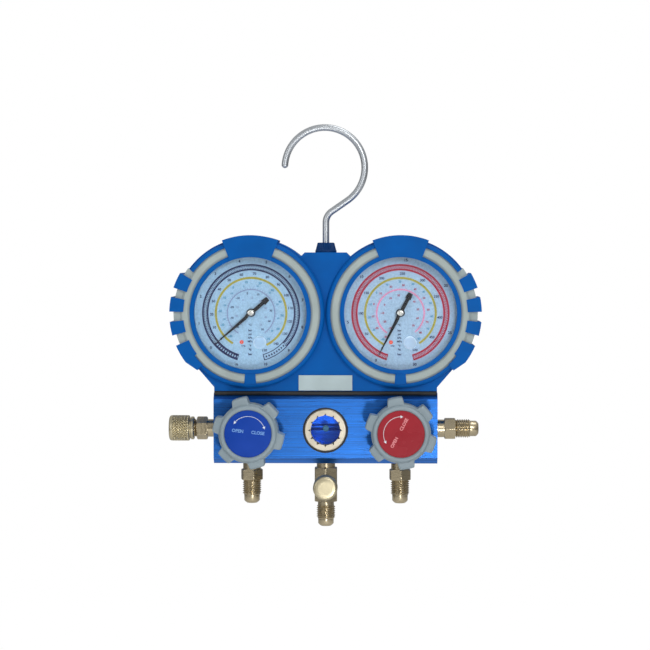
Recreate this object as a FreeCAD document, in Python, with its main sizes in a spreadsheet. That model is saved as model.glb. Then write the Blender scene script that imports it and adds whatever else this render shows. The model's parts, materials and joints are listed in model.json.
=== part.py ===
import FreeCAD, Part
import os
import re
import Sketcher

# Two-gauge refrigerant manifold: block, valves, ports, gauges, boot and hook.
# Millimetres, +Z up, front towards -Y, low side at -X. The origin is the point where a rail
# carries the hook. Levels are written from the axis of the ports, axis_drop below the origin.

Vector = FreeCAD.Vector
Rotation = FreeCAD.Rotation

SIZES = {
    # manifold block, above and below the axis of the side ports
    "block_length": 133,
    "block_above": 22,
    "block_below": 20,
    "block_depth": 30,
    "block_chamfer": 3.5,
    "gauge_spacing": 89,
    "gallery_radius": 2.2,
    "gallery_back": 9,
    "drilling_radius": 2.2,
    "plug_length": 5,
    "overlap": 0.3,
    "deep_overlap": 1,
    "fit_gap": 0.05,
    "running_gap": 0.05,
    "part_gap": 0.3,
    # flare unions
    "shank_radius": 4.9,
    "shank_length": 9,
    "neck_radius": 5.3,
    "neck_length": 4.6,
    "hex_flats": 12,
    "hex_length": 6.4,
    "hex_bevel": 0.7,
    "hex_land": 0.15,
    "flare_radius": 5.556,
    "flare_length": 9,
    "nose_radius": 4.65,
    "nose_length": 4.9,
    "nose_bevel": 1.1,
    "flare_bore": 2.4,
    "low_side_hex_turn": 0,
    "high_side_hex_turn": 30,
    "low_bottom_hex_turn": 17,
    "high_bottom_hex_turn": 24,
    # tee at the middle, with its access branch in front
    "tee_shank_length": 7,
    "tee_neck_radius": 5.5,
    "tee_neck_length": 3.5,
    "tee_flats": 13.3,
    "tee_length": 20.4,
    "tee_waist_radius": 4.8,
    "tee_waist_length": 2.1,
    "tee_flare_length": 8.3,
    "tee_nose_length": 4.4,
    "tee_hex_turn": 30,
    "branch_drop": 13.9,
    "branch_neck_length": 1.9,
    "branch_flare_length": 7,
    "branch_nose_length": 3,
    # access valve core
    "core_radius": 2.35,
    "core_wall": 0.6,
    "core_length": 9.4,
    "core_inset": 0.9,
    "core_end": 1.2,
    "core_floor": 0.8,
    "pin_radius": 0.6,
    "pin_proud": 0.8,
    "pin_collar_radius": 1.4,
    "pin_collar_length": 0.6,
    "pin_collar_drop": 0.3,
    "pin_head_radius": 2.1,
    "pin_head_length": 1.2,
    "spring_wire": 0.25,
    "spring_radius": 1.25,
    "spring_turns": 4,
    # dust caps
    "side_cap_radius": 7.7,
    "side_cap_length": 14.9,
    "side_cap_back": 12.7,
    "access_cap_radius": 7.3,
    "access_cap_length": 12.4,
    "access_cap_back": 10,
    "cap_bevel": 0.9,
    "cap_ring_length": 2.4,
    "cap_ring_radius": 7,
    "cap_seal_thickness": 1,
    # valve bonnet and stem, measured forward from the axis of the ports
    "chamber_radius": 5.5,
    "seat_level": -5,
    "seat_bore": 1.8,
    "bonnet_level": 5,
    "bonnet_radius": 7.9,
    "bonnet_flats": 19,
    "bonnet_hex_length": 5,
    "bonnet_neck_radius": 6.5,
    "bonnet_neck_length": 3.3,
    "stem_radius": 3,
    "stem_tip_radius": 2.2,
    "stem_tip_level": -2.4,
    "stem_tip_length": 4,
    "stem_square": 4.2,
    "stem_square_length": 8,
    "stem_shoulder_level": 28,
    "seal_wire": 0.9,
    "seal_level": 8,
    "piston_radius": 4.4,
    "piston_cone_radius": 2.9,
    "piston_cone_length": 1,
    "piston_length": 6.3,
    "screw_radius": 1.5,
    "screw_length": 7,
    "screw_head_radius": 3.5,
    "screw_head_length": 1.8,
    # handwheel
    "knob_back_level": 23.5,
    "knob_lobe_back": 25,
    "knob_lobe_front": 38.4,
    "knob_front_level": 41.5,
    "knob_radius": 17.4,
    "knob_rim_radius": 16.4,
    "knob_rim_inner": 13.75,
    "knob_round": 1,
    "knob_lobe_radius": 21.1,
    "knob_lobe_tip_angle": 23,
    "knob_lobe_foot_angle": 36,
    "knob_lobes": 6,
    "knob_wall": 2.6,
    "knob_web": 2,
    "knob_hub_radius": 6,
    "low_knob_turn": 45,
    "high_knob_turn": 40,
    "insert_level": 39.2,
    "insert_thickness": 1.2,
    # sight glass
    "sight_radius": 9.5,
    "sight_back": 8,
    "sight_seat_level": 3,
    "sight_seal_thickness": 1,
    "sight_lens_radius": 11.9,
    "sight_lens_thickness": 4,
    "sight_ring_radius": 12.45,
    "sight_ring_bore": 8.8,
    "sight_ring_proud": 0.6,
    "sight_ring_bevel": 0.5,
    "sight_point_radius": 10.1,
    "sight_point_angle": 22,
    "sight_point_depth": 4,
    "sight_points": 12,
    "sight_flare": 0.9,
    # gauges, levels measured forward from the axis of the ports
    "gauge_height": 69.3,
    "case_radius": 39.5,
    "case_wall": 1.2,
    "case_back": 12,
    "case_front": 11.8,
    "lens_thickness": 1.5,
    "lens_dome": 1.1,
    "lens_dome_radius": 33,
    "lens_skirt_width": 1.7,
    "lens_skirt_length": 2,
    "adjuster_radius": 3.6,
    "adjuster_right": 5.6,
    "adjuster_drop": 17.2,
    "adjuster_proud": 1.6,
    "dial_radius": 37.5,
    "dial_level": 6.2,
    "dial_thickness": 0.8,
    "dial_bore": 1.7,
    "pointer_level": 8,
    "pointer_thickness": 0.7,
    "pointer_reach": 28.4,
    "pointer_foot": 2.2,
    "pointer_tip": 0.35,
    "pointer_tail": 13.3,
    "pointer_tail_foot": 2.2,
    "pointer_tail_width": 3.6,
    "pointer_tail_end": 2.8,
    "pointer_tail_head": 3.4,
    "hub_radius": 2.65,
    "hub_level": 7.6,
    "hub_length": 2.3,
    "hub_bevel": 0.7,
    "scale_start": 253.7,
    "scale_sweep": 328.1,
    "low_pointer_turn": 33,
    "high_pointer_turn": 11,
    # gauge socket and Bourdon tube
    "socket_width": 14,
    "socket_depth": 12,
    "socket_top_drop": 25,
    "socket_hole_reach": 4,
    "tube_radius": 29,
    "tube_width": 3.2,
    "tube_height": 9,
    "tube_wall": 0.5,
    "tube_sweep": 260,
    "tip_length": 3.4,
    "tip_wall": 0.3,
    "lug_reach": 2.8,
    "lug_drop": 4,
    "lug_thickness": 1,
    # gauge movement
    "gear_module": 0.35,
    "pinion_teeth": 12,
    "sector_full_teeth": 96,
    "sector_teeth": 15,
    "gear_addendum": 0.8,
    "gear_dedendum": 1.25,
    "gear_backlash": 0.07,
    "pressure_angle": 20,
    "pinion_height": 2,
    "sector_height": 1,
    "sector_rim": 1.9,
    "sector_spoke": 1.5,
    "spoke_inset": 3,
    "sector_hub_radius": 2.2,
    "tail_length": 7,
    "tail_angle": -70,
    "tail_width": 1.8,
    "pivot_boss": 1.3,
    "linkpin_radius": 0.6,
    "linkpin_length": 1.5,
    "link_thickness": 0.8,
    "link_width": 1.3,
    "arbor_radius": 1.1,
    "arbor_front_radius": 0.8,
    "arbor_top": 9.6,
    "pivot_radius": 0.5,
    "end_play": 0.1,
    "plate_width": 14,
    "plate_thickness": 1,
    "plate_top": 6,
    "plate_foot": 33,
    "plate_space": 9,
    "pillar_radius": 1.2,
    "pillar_side": 4.5,
    "pillar_top": 4.4,
    "pillar_foot": 22.6,
    "post_side": 5,
    "post_drop": 12,
    "hairspring_start": 1.5,
    "hairspring_pitch": 1,
    "hairspring_thickness": 0.2,
    "hairspring_height": 0.8,
    "hairspring_level": 1.5,
    "stud_radius": 0.5,
    # boot around both gauges
    "boot_front": 13,
    "boot_back": 15,
    "boot_foot_half": 66.2,
    "boot_foot_side": 3.5,
    "boot_round": 1.5,
    "flank_angle": 220,
    "cup_radius": 45.1,
    "cup_rim_radius": 44.1,
    "cup_front": 17,
    "cup_round": 2.2,
    "lip_gap": 0.1,
    "window_radius": 33.4,
    "back_opening": 36,
    "plateau_rise": 36.2,
    "plateau_half": 12.3,
    "valley_half": 14.7,
    "lug_angle": 21,
    "lug_radius": 46.4,
    "lug_front": 18.4,
    "bridge_angle": 4.9,
    "pad_radius": 47.9,
    "pad_inner": 39.6,
    "pad_front": 17.9,
    "pad_end": 12,
    "pad_tail_radius": 45.9,
    # grey trim
    "trim_inner": 35.9,
    "trim_outer": 41.6,
    "trim_floor": 13.8,
    "trim_cover": 15.4,
    "trim_front": 17.3,
    "trim_round": 1.4,
    "band_radius": 45.6,
    "band_start": -47,
    "band_end": 36,
    "band_back": 10,
    "band_front": 15.6,
    # name plate
    "plate_half": 15.9,
    "plate_low": 23.6,
    "plate_high": 32.6,
    "plate_proud": 0.9,
    # hook
    "hook_wire": 2,
    "hook_radius": 23.9,
    "hook_center_rise": 50.7,
    "hook_center_left": 0.7,
    "hook_tip_angle": 176,
    "hook_turn": 55.3,
    "hook_bend": 8,
    "hook_foot_drop": 14.2,
    "collar_foot_radius": 6.4,
    "collar_top_radius": 5.1,
    "collar_ring": 1.2,
    "collar_height": 5.9,
    "collar_shank_radius": 4,
    "collar_shank_length": 5,
    "nut_flats": 7,
    "nut_height": 4,
    "nut_foot_drop": 13,
    "nut_pocket_half": 5.5,
    "nut_pocket_drop": 16,
    "nut_pocket_front": 5,
}

# sizes worked out from the driving ones
WORKED_OUT = {
    "axis_drop": "hook_center_height + sqrt((hook_radius - hook_wire) ^ 2 - hook_center_left ^ 2)",
    "side": "gauge_spacing / 2",
    "face": "block_depth / 2",
    "case_bore": "case_radius - case_wall",
    "cavity_radius": "case_radius + part_gap",
    "cavity_front": "lens_front + lip_gap",
    "lens_front": "case_front + lens_thickness",
    "socket_bottom": "gauge_height - block_above",
    "mesh_distance": "gear_module * (pinion_teeth + sector_full_teeth) / 2",
    "gear_ratio": "sector_full_teeth / pinion_teeth",
    "tooth_step": "360 / sector_full_teeth",
    "rear_plate": "socket_depth / 2",
    "front_plate": "plate_space - rear_plate",
    "plateau_height": "gauge_height + plateau_rise",
    "hook_center_height": "plateau_height + hook_center_rise",
    "hook_foot": "plateau_height - hook_foot_drop",
    "nut_foot": "plateau_height - nut_foot_drop",
    "nut_pocket_foot": "plateau_height - nut_pocket_drop",
    "nut_pocket_top": "nut_foot + nut_height + part_gap",
    "lug_right": "tube_radius - tube_width / 2 - lug_reach",
    "bonnet_front": "face + bonnet_hex_length",
    "lens_seat": "sight_seat_level + sight_seal_thickness",
    "ring_seat": "lens_seat + sight_lens_thickness",
    "branch_start": "tee_flats / 2",
    "branch_end": "branch_start + branch_neck_length + branch_flare_length + branch_nose_length",
    "core_front": "branch_end - core_inset",
    "core_back": "core_front - core_length",
    "pin_collar_top": "core_front - core_end - pin_collar_drop",
    "union_end": "neck_length + hex_length + flare_length + nose_length",
    "straight_top": "hook_center_height - (hook_radius + hook_bend) * sin(hook_turn) - diagonal_rise",
    "diagonal_run": "hook_radius * cos(hook_turn) - hook_center_left - hook_bend * (1 - cos(hook_turn))",
    "diagonal_rise": "diagonal_run * cos(hook_turn) / sin(hook_turn)",
}

HAIRSPRING_TURNS = 3
SPRING_WIRE_SIDES = 4

# grip pads on each outer side: start and end in degrees above the level line
GRIP_PADS = (("18.7", "30.1"), ("1.4", "11.9"), ("-15.8", "-5.9"))
LONG_PAD = ("-47", "-37", "-23.4")

# turns that point an object's Z axis some other way
FRONT = Rotation(Vector(1, 0, 0), 90)
BACK = Rotation(Vector(1, 0, 0), -90)
UP = Rotation()
DOWN = Rotation(Vector(1, 0, 0), 180)
LEFT = Rotation(Vector(0, 1, 0), -90)
RIGHT = Rotation(Vector(0, 1, 0), 90)

os.makedirs("parts", exist_ok=True)
doc = FreeCAD.newDocument("manifold_gauge")
sheet = doc.addObject("Spreadsheet::Sheet", "Sizes")
for row, (size_name, size_value) in enumerate(SIZES.items(), 1):
    sheet.set("A%d" % row, size_name)
    sheet.set("B%d" % row, str(size_value))
    sheet.setAlias("B%d" % row, size_name)
doc.recompute()

parts = []


def linked(text):
    """The expression with every size name pointing at its cell of the sheet."""
    def cell(word):
        name = word.group()
        if name in SIZES:
            return "Sizes." + name
        if name in WORKED_OUT:
            return "(" + linked(WORKED_OUT[name]) + ")"
        return name
    return re.sub(r"[a-z][a-z_]*[a-z]", cell, text)


def value(text):
    """The number that an expression comes to."""
    return float(sheet.evalExpression(linked(text)))


def bind(thing, **properties):
    """Bind properties of an object to expressions of the sheet."""
    for name, text in properties.items():
        thing.setExpression(name, linked(text))


def place(thing, x, y, z, turn=UP):
    """Put an object at x, y and at the level z above the axis of the ports."""
    thing.Placement = FreeCAD.Placement(Vector(), turn)
    thing.setExpression("Placement.Base.x", linked(x))
    thing.setExpression("Placement.Base.y", linked(y))
    thing.setExpression("Placement.Base.z", linked("(%s) - (axis_drop)" % z))


def new_body(name, x, y, z, turn=UP, kept=True):
    """An empty body at its place; kept ones are sub-parts."""
    body = doc.addObject("PartDesign::Body", name)
    body.Label = name
    place(body, x, y, z, turn)
    if kept:
        parts.append(body)
    return body


def plane(body, role):
    """One of the body's own origin planes or axes."""
    return [item for item in body.Origin.OriginFeatures if item.Role == role][0]


def polar(radius, angle, x="0", y="0"):
    """A point at a radius and an angle about x, y."""
    return "%s + (%s) * cos(%s)" % (x, radius, angle), "%s + (%s) * sin(%s)" % (y, radius, angle)


def edge_shape(start, end):
    """A line, or an arc where the start vertex names a centre and a turn."""
    first = Vector(value(start[0]), value(start[1]), 0)
    last = Vector(value(end[0]), value(end[1]), 0)
    if len(start) == 2:
        return Part.LineSegment(first, last)
    center = Vector(value(start[2]), value(start[3]), 0)
    if start[4] < 0:
        first, last = last, first
    circle = Part.Circle(center, Vector(0, 0, 1), (first - center).Length)
    return Part.ArcOfCircle(circle, circle.parameter(first), circle.parameter(last))


def draw(profile, loop, closed=True):
    """Draw one outline and tie each vertex and each centre to the sheet.

    A vertex is (x, y), or (x, y, centre x, centre y, turn) when an arc leaves it. The circle of an
    arc settles one coordinate of its end, so only the other one is tied.
    """
    count = len(loop) if closed else len(loop) - 1
    first = profile.GeometryCount
    for index in range(count):
        profile.addGeometry(edge_shape(loop[index], loop[(index + 1) % len(loop)]), False)

    def end_of(index, at_end):
        backwards = len(loop[index]) == 5 and loop[index][4] < 0
        return first + index, 2 if at_end != backwards else 1

    free = {}
    for index in range(count):
        after = (index + 1) % len(loop)
        if closed or after < count:
            meeting = (*end_of(index, True), *end_of(after, False))
            profile.addConstraint(Sketcher.Constraint("Coincident", *meeting))
        if len(loop[index]) == 5:
            across = abs(value(loop[after][0]) - value(loop[index][2]))
            along = abs(value(loop[after][1]) - value(loop[index][3]))
            free[after] = 1 if across < along else 0
            tie(profile, first + index, 3, loop[index][2:4])
    for index, vertex in enumerate(loop):
        spot = end_of(index, False) if index < count else end_of(index - 1, True)
        tie(profile, *spot, vertex[:2], free.get(index))


def tie(profile, shape, spot, point, skipped=None):
    """Tie a point's distances from the sketch's origin to expressions."""
    for axis, kind in enumerate(("DistanceX", "DistanceY")):
        if axis == skipped:
            continue
        if point[axis] == "0":
            profile.addConstraint(Sketcher.Constraint("PointOnObject", shape, spot, -2 + axis))
            continue
        rule = Sketcher.Constraint(kind, -1, 1, shape, spot, value(point[axis]))
        number = profile.addConstraint(rule)
        profile.setExpression("Constraints[%d]" % number, linked(point[axis]))


def sketch(body, name, role, loops, level="0"):
    """A sketch of closed outlines on one of the body's planes, at a level along its normal."""
    profile = body.newObject("Sketcher::SketchObject", name)
    profile.AttachmentSupport = [(plane(body, role), "")]
    profile.MapMode = "FlatFace"
    profile.setExpression("AttachmentOffset.Base.z", linked(level))
    for loop in loops:
        if len(loop) == 3 and isinstance(loop[0], str):
            middle = Vector(value(loop[0]), value(loop[1]), 0)
            number = profile.addGeometry(Part.Circle(middle, Vector(0, 0, 1), value(loop[2])), False)
            tie(profile, number, 3, loop[:2])
            rule = profile.addConstraint(Sketcher.Constraint("Radius", number, value(loop[2])))
            profile.setExpression("Constraints[%d]" % rule, linked(loop[2]))
        else:
            draw(profile, loop)
    return profile


def pad(body, name, loops, low, high):
    """Material between two levels of the body's Z axis."""
    feature = body.newObject("PartDesign::Pad", name)
    feature.Profile = sketch(body, name + "_outline", "XY_Plane", loops, low)
    bind(feature, Length="(%s) - (%s)" % (high, low))
    return feature


def pocket(body, name, loops, low, high):
    """A cut between two levels of the body's Z axis."""
    feature = body.newObject("PartDesign::Pocket", name)
    feature.Profile = sketch(body, name + "_outline", "XY_Plane", loops, high)
    bind(feature, Length="(%s) - (%s)" % (high, low))
    return feature


def turn(body, name, loop, kind="Revolution", angle="360"):
    """Turn a profile of (radius, level) about the body's Z axis."""
    profile = sketch(body, name + "_profile", "XZ_Plane", [loop])
    feature = body.newObject("PartDesign::" + kind, name)
    feature.Profile = profile
    feature.ReferenceAxis = (profile, ["V_Axis"])
    bind(feature, Angle=angle)
    return feature


def primitive(body, kind, name, x="0", y="0", z="0", turned=UP, **sizes):
    """A primitive feature of the body at a place of its own."""
    feature = body.newObject("PartDesign::" + kind, name)
    feature.Placement = FreeCAD.Placement(Vector(), turned)
    feature.setExpression("Placement.Base.x", linked(x))
    feature.setExpression("Placement.Base.y", linked(y))
    feature.setExpression("Placement.Base.z", linked(z))
    bind(feature, **sizes)
    return feature


def around(body, name, feature, count, angle="360"):
    """Repeat a feature about the body's Z axis."""
    pattern = body.newObject("PartDesign::PolarPattern", name)
    pattern.Originals = [feature]
    pattern.Axis = (plane(body, "Z_Axis"), [""])
    bind(pattern, Angle=angle, Occurrences=count)
    body.Tip = pattern
    return pattern


def edges_at(feature, level):
    """Names of the feature's edges that lie at one level."""
    doc.recompute()
    names = []
    for number, edge in enumerate(feature.Shape.Edges, 1):
        box = edge.BoundBox
        if abs(box.ZMin - level) < 0.001 and abs(box.ZMax - level) < 0.001:
            names.append("Edge%d" % number)
    return names


def rounded(body, name, feature, level, radius, kind="Fillet"):
    """Round, or bevel, the edges of a feature that lie at one level."""
    names = edges_at(feature, value(level))
    softened = body.newObject("PartDesign::" + kind, name)
    softened.Base = (feature, names)
    bind(softened, **{"Radius" if kind == "Fillet" else "Size": radius})
    return softened


def ring_sector(x, y, inner, outer, start, end, mirror=1):
    """Part of a ring between two radii and two angles; mirror -1 turns it over in X."""
    spots = ((inner, start), (outer, start), (outer, end), (inner, end))
    corners = [polar(radius, angle, x, y) for radius, angle in spots]
    flat = [("%d * (%s)" % (mirror, point[0]), point[1]) for point in corners]
    center = ("%d * (%s)" % (mirror, x), y)
    return [flat[0], (*flat[1], *center, mirror), flat[2], (*flat[3], *center, -mirror)]


def box_loop(left, right, low, high):
    """A rectangle between two distances and two levels."""
    return [(left, low), (right, low), (right, high), (left, high)]


def hexagon(body, name, flats, low, length, spin):
    """A hexagonal bar with both ends turned to a bevel."""
    corner = "(%s) / 2 / cos(30)" % flats
    primitive(body, "AdditivePrism", name, z=low, turned=Rotation(Vector(0, 0, 1), value(spin)), Polygon="6",
              Circumradius=corner, Height=length)
    for end, level, inward in (("_low", low, "+"), ("_high", "(%s) + (%s)" % (low, length), "-")):
        rim = "(%s) / 2 + hex_land" % flats
        slope = "(%s) %s hex_bevel" % (level, inward)
        outside = corner + " + deep_overlap"
        turn(body, name + end + "_bevel", [(rim, level), (outside, level), (outside, slope)], "Groove")


def seal_ring(name, x, y, z, turned, radius, wire):
    """A round-section seal about the Z axis of its place."""
    torus = doc.addObject("Part::Torus", name)
    torus.Label = name
    bind(torus, Radius1=radius, Radius2=wire)
    place(torus, x, y, z, turned)
    parts.append(torus)


# block

def block():
    """Bar along X with bevelled front edges, drilled for every port and valve."""
    body = new_body("manifold_block", "0", "0", "0")
    feature = body.newObject("PartDesign::Pad", "bar")
    outline = [
        ("face", "-block_below"),
        ("face", "block_above"),
        ("block_chamfer - face", "block_above"),
        ("-face", "block_above - block_chamfer"),
        ("-face", "block_chamfer - block_below"),
        ("block_chamfer - face", "-block_below"),
    ]
    feature.Profile = sketch(body, "bar_section", "YZ_Plane", [outline], "-block_length / 2")
    bind(feature, Length="block_length")

    def drill(name, x, y, z, turned, radius, length):
        primitive(body, "SubtractiveCylinder", name, x, y, z, turned, Radius=radius, Height=length)

    drill("gallery", "-(side)", "gallery_back", "0", RIGHT, "gallery_radius", "side + block_length / 2")
    for word, sign in (("low", "-1"), ("high", "1")):
        x = "%s * (side)" % sign
        end = "%s * block_length / 2" % sign
        inward = RIGHT if sign == "-1" else LEFT
        drill(word + "_bonnet_bore", x, "-(face)", "0", BACK, "bonnet_radius + fit_gap",
              "face - bonnet_level")
        drill(word + "_chamber", x, "-(face)", "0", BACK, "chamber_radius", "face - seat_level")
        drill(word + "_seat_bore", x, "0", "0", BACK, "seat_bore", "gallery_back")
        drill(word + "_side_bore", end, "0", "0", inward, "shank_radius + fit_gap", "shank_length")
        drill(word + "_side_way", end, "0", "0", inward, "drilling_radius", "block_length / 2 - side")
        drill(word + "_foot_bore", x, "0", "-block_below", UP, "shank_radius + fit_gap", "shank_length")
        drill(word + "_foot_way", x, "0", "-block_below", UP, "drilling_radius", "block_below")
        drill(word + "_socket_bore", x, "0", "block_above", DOWN, "shank_radius + fit_gap", "shank_length")
        drill(word + "_socket_way", x, "0", "block_above", DOWN, "drilling_radius", "block_above")
    drill("middle_bore", "0", "0", "-block_below", UP, "shank_radius + fit_gap", "tee_shank_length")
    drill("middle_way", "0", "0", "-block_below", UP, "drilling_radius", "block_below")
    drill("sight_chamber", "0", "sight_back", "0", FRONT, "sight_radius", "sight_back + face")
    drill("sight_seat", "0", "-sight_seat_level", "0", FRONT, "sight_ring_radius + fit_gap",
          "face - sight_seat_level")
    primitive(body, "SubtractiveCone", "sight_flare_cut", y="sight_flare - (face)", turned=FRONT,
              Radius1="sight_ring_radius + fit_gap", Radius2="sight_ring_radius + sight_flare",
              Height="sight_flare")
    plug = new_body("gallery_plug", "block_length / 2 - plug_length", "gallery_back", "0", RIGHT)
    primitive(plug, "AdditiveCylinder", "plug", Radius="gallery_radius - fit_gap", Height="plug_length")


# flare unions and the tee

def flare_loop(foot, neck, hexed, thread, nose):
    """Profile of a union turned about its axis, from its shank to its nose."""
    collar = "(%s) + (%s)" % (neck[1], hexed)
    crest = "%s + (%s)" % (collar, thread)
    tip = "%s + (%s)" % (crest, nose)
    return [
        ("0", "-(%s)" % foot),
        ("shank_radius", "-(%s)" % foot),
        ("shank_radius", "0"),
        (neck[0], "0"),
        (neck[0], collar),
        ("flare_radius", collar),
        ("flare_radius", crest),
        ("nose_radius", crest),
        ("nose_radius", "%s - nose_bevel" % tip),
        ("nose_radius - nose_bevel", tip),
        ("0", tip),
    ]


def union(name, x, z, turned, spin):
    """Flare union: shank in the block, neck, hexagon, thread and nose, drilled through."""
    body = new_body(name, x, "0", z, turned)
    turn(body, "core", flare_loop("shank_length", ("neck_radius", "neck_length"), "hex_length",
                                  "flare_length",
                                  "nose_length"))
    hexagon(body, "hexagon", "hex_flats", "neck_length", "hex_length", spin)
    primitive(body, "SubtractiveCylinder", "bore", z="-shank_length", Radius="flare_bore",
              Height="shank_length + union_end")


def tee():
    """Hexagonal tee: hose thread below, access branch towards the front."""
    body = new_body("center_tee", "0", "0", "-block_below", DOWN)
    waist = "tee_neck_length + tee_length"
    loop = flare_loop("tee_shank_length", ("tee_neck_radius", waist), "tee_waist_length", "tee_flare_length",
                      "tee_nose_length")
    loop[4] = ("tee_neck_radius", waist)
    loop.insert(5, ("tee_waist_radius", waist))
    loop[6] = ("tee_waist_radius", "%s + tee_waist_length" % waist)
    loop.insert(7, ("flare_radius", "%s + tee_waist_length" % waist))
    turn(body, "core", loop)
    hexagon(body, "hexagon", "tee_flats", "tee_neck_length", "tee_length", "tee_hex_turn")
    branch = (
        ("branch_neck", "nose_radius", "0", "branch_start + branch_neck_length"),
        ("branch_thread", "flare_radius", "branch_start + branch_neck_length", "branch_flare_length"),
        ("branch_nose", "nose_radius", "branch_start + branch_neck_length + branch_flare_length",
         "branch_nose_length"),
    )
    for word, radius, start, length in branch:
        primitive(body, "AdditiveCylinder", word, y=start, z="branch_drop", turned=BACK, Radius=radius,
                  Height=length)
    primitive(body, "SubtractiveCylinder", "bore", z="-tee_shank_length", Radius="flare_bore",
              Height="tee_shank_length + %s + tee_waist_length + tee_flare_length + tee_nose_length" % waist)
    primitive(body, "SubtractiveCylinder", "branch_bore", z="branch_drop", turned=BACK, Radius="flare_bore",
              Height="branch_end")


def access_core():
    """Spring-loaded valve core in the tee's branch: body, pin and spring."""
    level = "-block_below - branch_drop"
    body = new_body("access_core_body", "0", "0", level, FRONT)
    turn(body, "sleeve", [
        ("pin_radius + running_gap", "core_back"),
        ("core_radius", "core_back"),
        ("core_radius", "core_front"),
        ("pin_radius + running_gap", "core_front"),
        ("pin_radius + running_gap", "core_front - core_end"),
        ("core_radius - core_wall", "core_front - core_end"),
        ("core_radius - core_wall", "core_back + core_floor"),
        ("pin_radius + running_gap", "core_back + core_floor"),
    ])
    pin = new_body("access_core_pin", "0", "0", level, FRONT)
    head = "core_back - part_gap"
    turn(pin, "pin", [
        ("0", head + " - pin_head_length"),
        ("pin_head_radius", head + " - pin_head_length"),
        ("pin_head_radius", head),
        ("pin_radius", head),
        ("pin_radius", "pin_collar_top - pin_collar_length"),
        ("pin_collar_radius", "pin_collar_top - pin_collar_length"),
        ("pin_collar_radius", "pin_collar_top"),
        ("pin_radius", "pin_collar_top"),
        ("pin_radius", "core_front + pin_proud"),
        ("0", "core_front + pin_proud"),
    ])
    foot = "core_back + core_floor + spring_wire + running_gap"
    height = "pin_collar_top - pin_collar_length - spring_wire - running_gap - (%s)" % foot
    helix = doc.addObject("Part::Helix", "spring_path")
    bind(helix, Pitch="(%s) / spring_turns" % height, Height=height, Radius="spring_radius")
    wire = doc.addObject("Part::RegularPolygon", "spring_section")
    wire.Polygon = SPRING_WIRE_SIDES
    wire.Placement = FreeCAD.Placement(Vector(), FRONT)
    wire.setExpression("Placement.Base.x", linked("spring_radius"))
    bind(wire, Circumradius="spring_wire")
    spring = doc.addObject("Part::Sweep", "access_core_spring")
    spring.Label = "access_core_spring"
    spring.Sections = [wire]
    spring.Spine = (helix, ["Edge1"])
    spring.Solid = True
    spring.Frenet = True
    place(spring, "0", "-(%s)" % foot, level, FRONT)
    parts.append(spring)


# dust caps

def dust_cap(name, x, y, z, turned, radius, back, length, reach):
    """Round cap over a flare thread, with its flat seal against the port's nose."""
    body = new_body(name, x, y, z, turned)
    end = "(%s) + (%s)" % (back, length)
    seal_end = "(%s) + part_gap + cap_seal_thickness" % reach
    turn(body, "shell", [
        ("flare_radius + part_gap", back),
        ("cap_ring_radius - cap_bevel / 2", back),
        ("cap_ring_radius", "(%s) + cap_bevel / 2" % back),
        ("cap_ring_radius", "(%s) + cap_ring_length" % back),
        (radius, "(%s) + cap_ring_length" % back),
        (radius, "%s - cap_bevel" % end),
        ("(%s) - cap_bevel" % radius, end),
        ("0", end),
        ("0", seal_end),
        ("flare_radius + part_gap", seal_end),
    ])
    seal = new_body(name + "_seal", x, y, z, turned)
    primitive(seal, "AdditiveCylinder", "disc", z="(%s) + part_gap" % reach, Radius="flare_radius",
              Height="cap_seal_thickness")


# valves

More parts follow.
